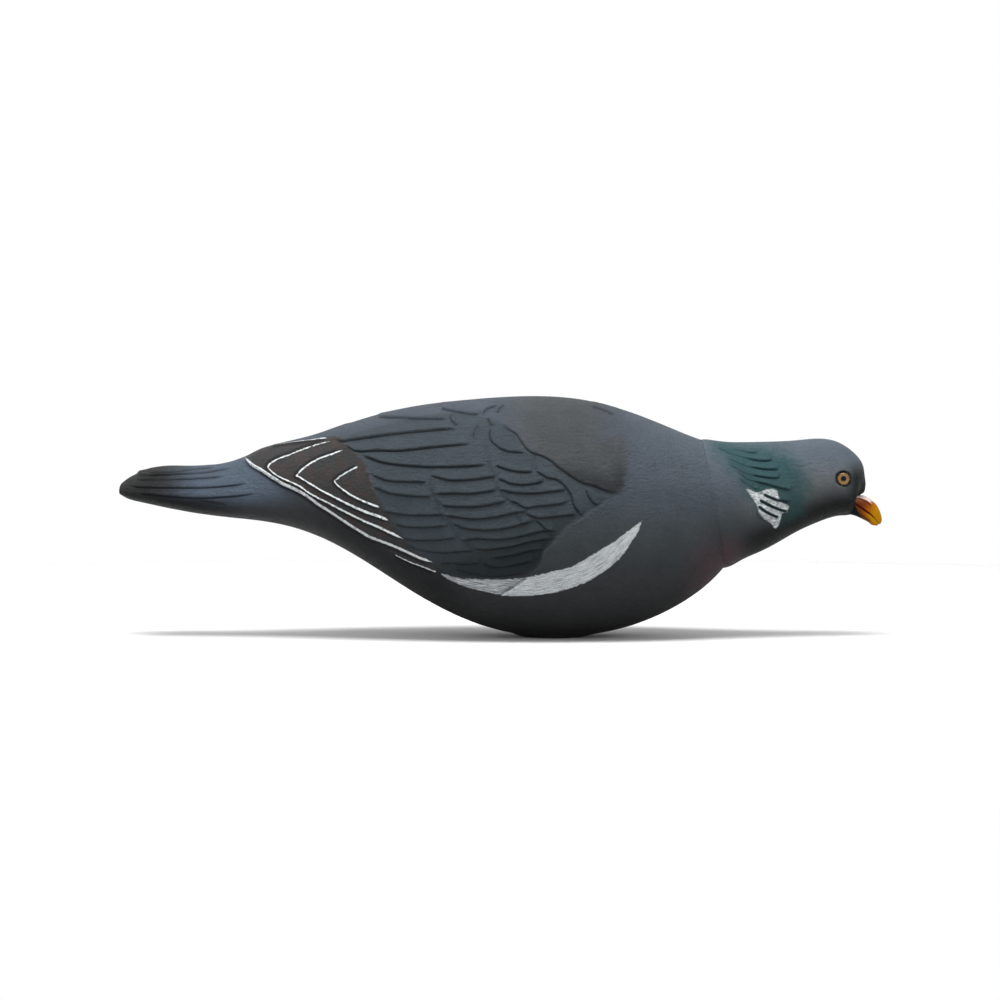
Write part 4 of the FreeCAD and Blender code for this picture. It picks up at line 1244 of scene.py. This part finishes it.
def head_paint():
    p = Paint("head_paint", 0.6, Specular_IOR_Level=0.08)
    x, z, up = p.axis("X"), p.axis("Z"), p.attribute("up")
    groove = p.attribute("groove")
    # Painted shade: the head goes near-black where it faces down, under the throat
    p.coats = p.mix(DARK_LORE_AND_THROAT_SHADE, CHEEK_GREY, p.ramp(up, -0.65, 0.02))
    p.over(HEAD_GREY, p.ramp(up, -0.2, 0.7))
    p.over(slate_lit_and_shaded(p, x, up), p.ramp(x, 112, 90))
    p.over(WINE, p.ramp(x, 106, 90) * p.ramp(z, 60, 42) * 0.55)
    p.over(GREEN, p.ramp(p.attribute("green") + p.wobble(0.16, 12.0), -7.0, 5.0) * 0.75)
    # Painted shade in the neck's grooves, in dark green
    p.over(GREEN_GROOVE_SHADE, groove * 0.75)
    face_coat(p, x, z)
    p.mottle(0.34)
    neck_patch(p, groove)
    plumage_surface(p, 0.48, 2.0)
    return p.done()


def upper_beak_coat(p, place, down, uneven):
    """Pink at the root, with the pale cere, the nostril's line and the dark edge of the mouth."""
    p.coats = p.mix(BEAK_PINK, p.coats, p.ramp(place + down * 0.35, 0.3, 0.55))
    p.over(CERE, p.ramp(place, 0.47, 0.38) * p.ramp(down + uneven * 2.0, 0.36, 0.22))
    nostril = p.ramp(p.math("ABSOLUTE", down - 0.36), 0.07, 0.02) * p.ramp(place, 0.5, 0.44)
    p.over(NOSTRIL, nostril * p.ramp(place, 0.14, 0.22))
    p.over(MOUTH_RED, p.ramp(down, 0.86, 0.97) * p.ramp(place, 0.75, 0.5))


def lower_beak_coat(p, place, down):
    """Brown underneath, and dark along the edge of the mouth."""
    p.over(BEAK_BROWN, p.ramp(down, 0.25, 0.8) * p.ramp(place, 0.8, 0.5) * 0.8)
    p.over(MOUTH_RED, p.ramp(down, 0.16, 0.04) * p.ramp(place, 0.75, 0.5))


def beak_paint(name, upper):
    p = Paint(name, 0.45, Specular_IOR_Level=0.04)
    along, down, uneven = p.attribute("along"), p.attribute("down"), p.wobble(0.9, 0.12)
    place = along + uneven
    p.coats = p.mix(BEAK_RED, BEAK_ORANGE, p.ramp(place, 0.3, 0.52))
    p.over(BEAK_YELLOW, p.ramp(place, 0.44, 0.62))
    if upper:
        upper_beak_coat(p, place, down, uneven)
    else:
        lower_beak_coat(p, place, down)
    ahead = p.axis("X") + p.axis("Z") * FEATHER_SLANT + p.noise(1.0, 3) * 1.2
    p.over(DARK_LORE_AND_THROAT_SHADE, p.ramp(ahead, FEATHER_FRONT + 0.8, FEATHER_FRONT))
    p.mottle(0.1)
    p.rough(p.noise(0.6, 3) * 0.2 + 0.3)
    p.bump(p.noise(1.4, 3), 0.15)
    return p.done()


def iris_paint():
    p = Paint("iris_paint", 0.5, Specular_IOR_Level=0.1)
    offset = p.vector_math("SUBTRACT", p.place, tuple(EYE_CENTRE))
    flat = p.vector_math("MULTIPLY", offset, (1, 0, 1))
    radius = p.vector_math("LENGTH", flat, output="Value") + p.wobble(1.2, 0.25, 2)
    p.coats = p.mix(rgb(132, 106, 69), rgb(92, 64, 30), p.ramp(radius, 2.0, 3.4))
    p.mottle(0.16)
    p.over(rgb(4, 3, 2), p.ramp(radius, 1.55, 1.3))
    p.over(rgb(10, 6, 3), p.ramp(radius, 3.0, 3.2))
    return p.done()


def lens_material():
    p = Paint("eye_lens", 0.05, IOR=1.15, Transmission_Weight=1.0, Specular_IOR_Level=0.1)
    p.coats = p.mix(rgb(250, 249, 246), rgb(242, 240, 234), p.noise(0.8))
    return p.done()


def lid_paint():
    p = Paint("eye_lid", 0.5, Specular_IOR_Level=0.1)
    p.coats = rgb(17, 14, 10)
    p.mottle(0.3)
    p.bump(p.noise(1.5, 3), 0.08)
    return p.done()


def moulded(name, colour, roughness, unevenness=0.1):
    """Plain moulded plastic with a fine grain and slight marks from handling."""
    p = Paint(name, roughness)
    p.coats = colour
    p.mottle(unevenness)
    scuffs = p.ramp(p.noise(0.35, 5, 0.7), 0.45, 0.7)
    p.rough(scuffs * 0.16 + (roughness - 0.06))
    p.bump(p.noise(3.0, 3), 0.05)
    return p.done()


def plated_steel():
    p = Paint("plated_steel", 0.3, Metallic=1.0)
    p.coats = p.mix(rgb(150, 150, 146), rgb(190, 190, 186), p.noise(0.7, 4))
    p.rough(p.noise(1.4, 4) * 0.25 + 0.2)
    p.bump(p.noise(5.0, 2), 0.02)
    return p.done()


def dress_cad_nodes():
    """Materials for the CAD pieces that stay."""
    by_slot = {
        "bearing_plastic": moulded("bearing_plastic", rgb(206, 203, 194), 0.42),
        "black_plastic": moulded("black_plastic", rgb(40, 41, 43), 0.5, 0.2),
        "friction_rubber": moulded("friction_rubber", rgb(34, 34, 34), 0.8, 0.2),
        "steel": plated_steel(),
        "iris_paint": iris_paint(),
    }
    for part in frame["record"]["subparts"]:
        material = by_slot.get(part["material_slot"])
        if material:
            mesh = frame["nodes"][part["node"]].data
            mesh.materials.clear()
            mesh.materials.append(material)


def eyes():
    lens, lid = lens_material(), lid_paint()
    for side, mirrored in (("right", False), ("left", True)):
        dome = build(f"{side}_eye_dome", *eye_dome(), {}, mirrored, lens)
        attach(dome, "head")
        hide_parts(f"{side}_eye_lens")
        ring = build(f"{side}_eye_lid", *eye_lid(), {}, mirrored, lid)
        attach(ring, "head")


# ---------------------------------------------------------------- floor, lights and camera


FLOOR_R, FLOOR_GAP = 0.8, 0.0004


def floor():
    """A round floor just under the bird, in metres."""
    mesh = bpy.data.meshes.new("floor")
    z, count = CAD_BOX[0][2] - FLOOR_GAP, 96
    turns = [2 * math.pi * k / count for k in range(count)]
    points = [(FLOOR_R * math.cos(a), FLOOR_R * math.sin(a), z) for a in turns]
    mesh.from_pydata(points, [], [list(range(count))])
    piece = bpy.data.objects.new("floor", mesh)
    bpy.context.scene.collection.objects.link(piece)
    p = Paint("floor", 0.9)
    p.coats = p.mix(rgb(196, 196, 196), rgb(192, 192, 193), p.noise(0.004, 2))
    mesh.materials.append(p.done())


def area_light(name, place, target, size, power):
    data = bpy.data.lights.new(name, "AREA")
    data.shape = "RECTANGLE"
    data.size, data.size_y = size
    data.energy = power
    light = bpy.data.objects.new(name, data)
    light.location = place
    light.rotation_euler = (Vector(target) - Vector(place)).to_track_quat("-Z", "Y").to_euler()
    bpy.context.scene.collection.objects.link(light)


def studio():
    target = (VIEW_CENTRE[0] * MM, 0, VIEW_CENTRE[1] * MM)
    area_light("top_softbox", (-0.15, -0.3, 1.15), target, (0.8, 0.6), 30)
    area_light("front_fill", (0.7, -1.6, 0.9), target, (1.0, 0.8), 5)
    area_light("side_fill", (-1.4, -0.5, 0.8), target, (0.8, 0.8), 3)
    world = bpy.data.worlds.new("studio")
    world.use_nodes = True
    background = world.node_tree.nodes["Background"]
    background.inputs["Color"].default_value = (1, 1, 1, 1)
    background.inputs["Strength"].default_value = 1.0
    bpy.context.scene.world = world


def camera():
    data = bpy.data.cameras.new("camera")
    data.sensor_width = SENSOR
    data.lens = SENSOR * VIEW_DISTANCE / VIEW_WIDTH
    piece = bpy.data.objects.new("camera", data)
    target = Vector((VIEW_CENTRE[0], 0, VIEW_CENTRE[1])) * MM
    away = Vector((0, -math.cos(VIEW_ELEVATION), math.sin(VIEW_ELEVATION)))
    piece.location = target + away * VIEW_DISTANCE * MM
    piece.rotation_euler = (-away).to_track_quat("-Z", "Y").to_euler()
    bpy.context.scene.collection.objects.link(piece)
    bpy.context.scene.camera = piece


bpy.context.scene.view_settings.view_transform = "Standard"
body_shells(body_paint())
head_shells(head_paint())
eyes()
beak(beak_paint("upper_beak_paint", True), beak_paint("lower_beak_paint", False))
dress_cad_nodes()
floor()
studio()
camera()
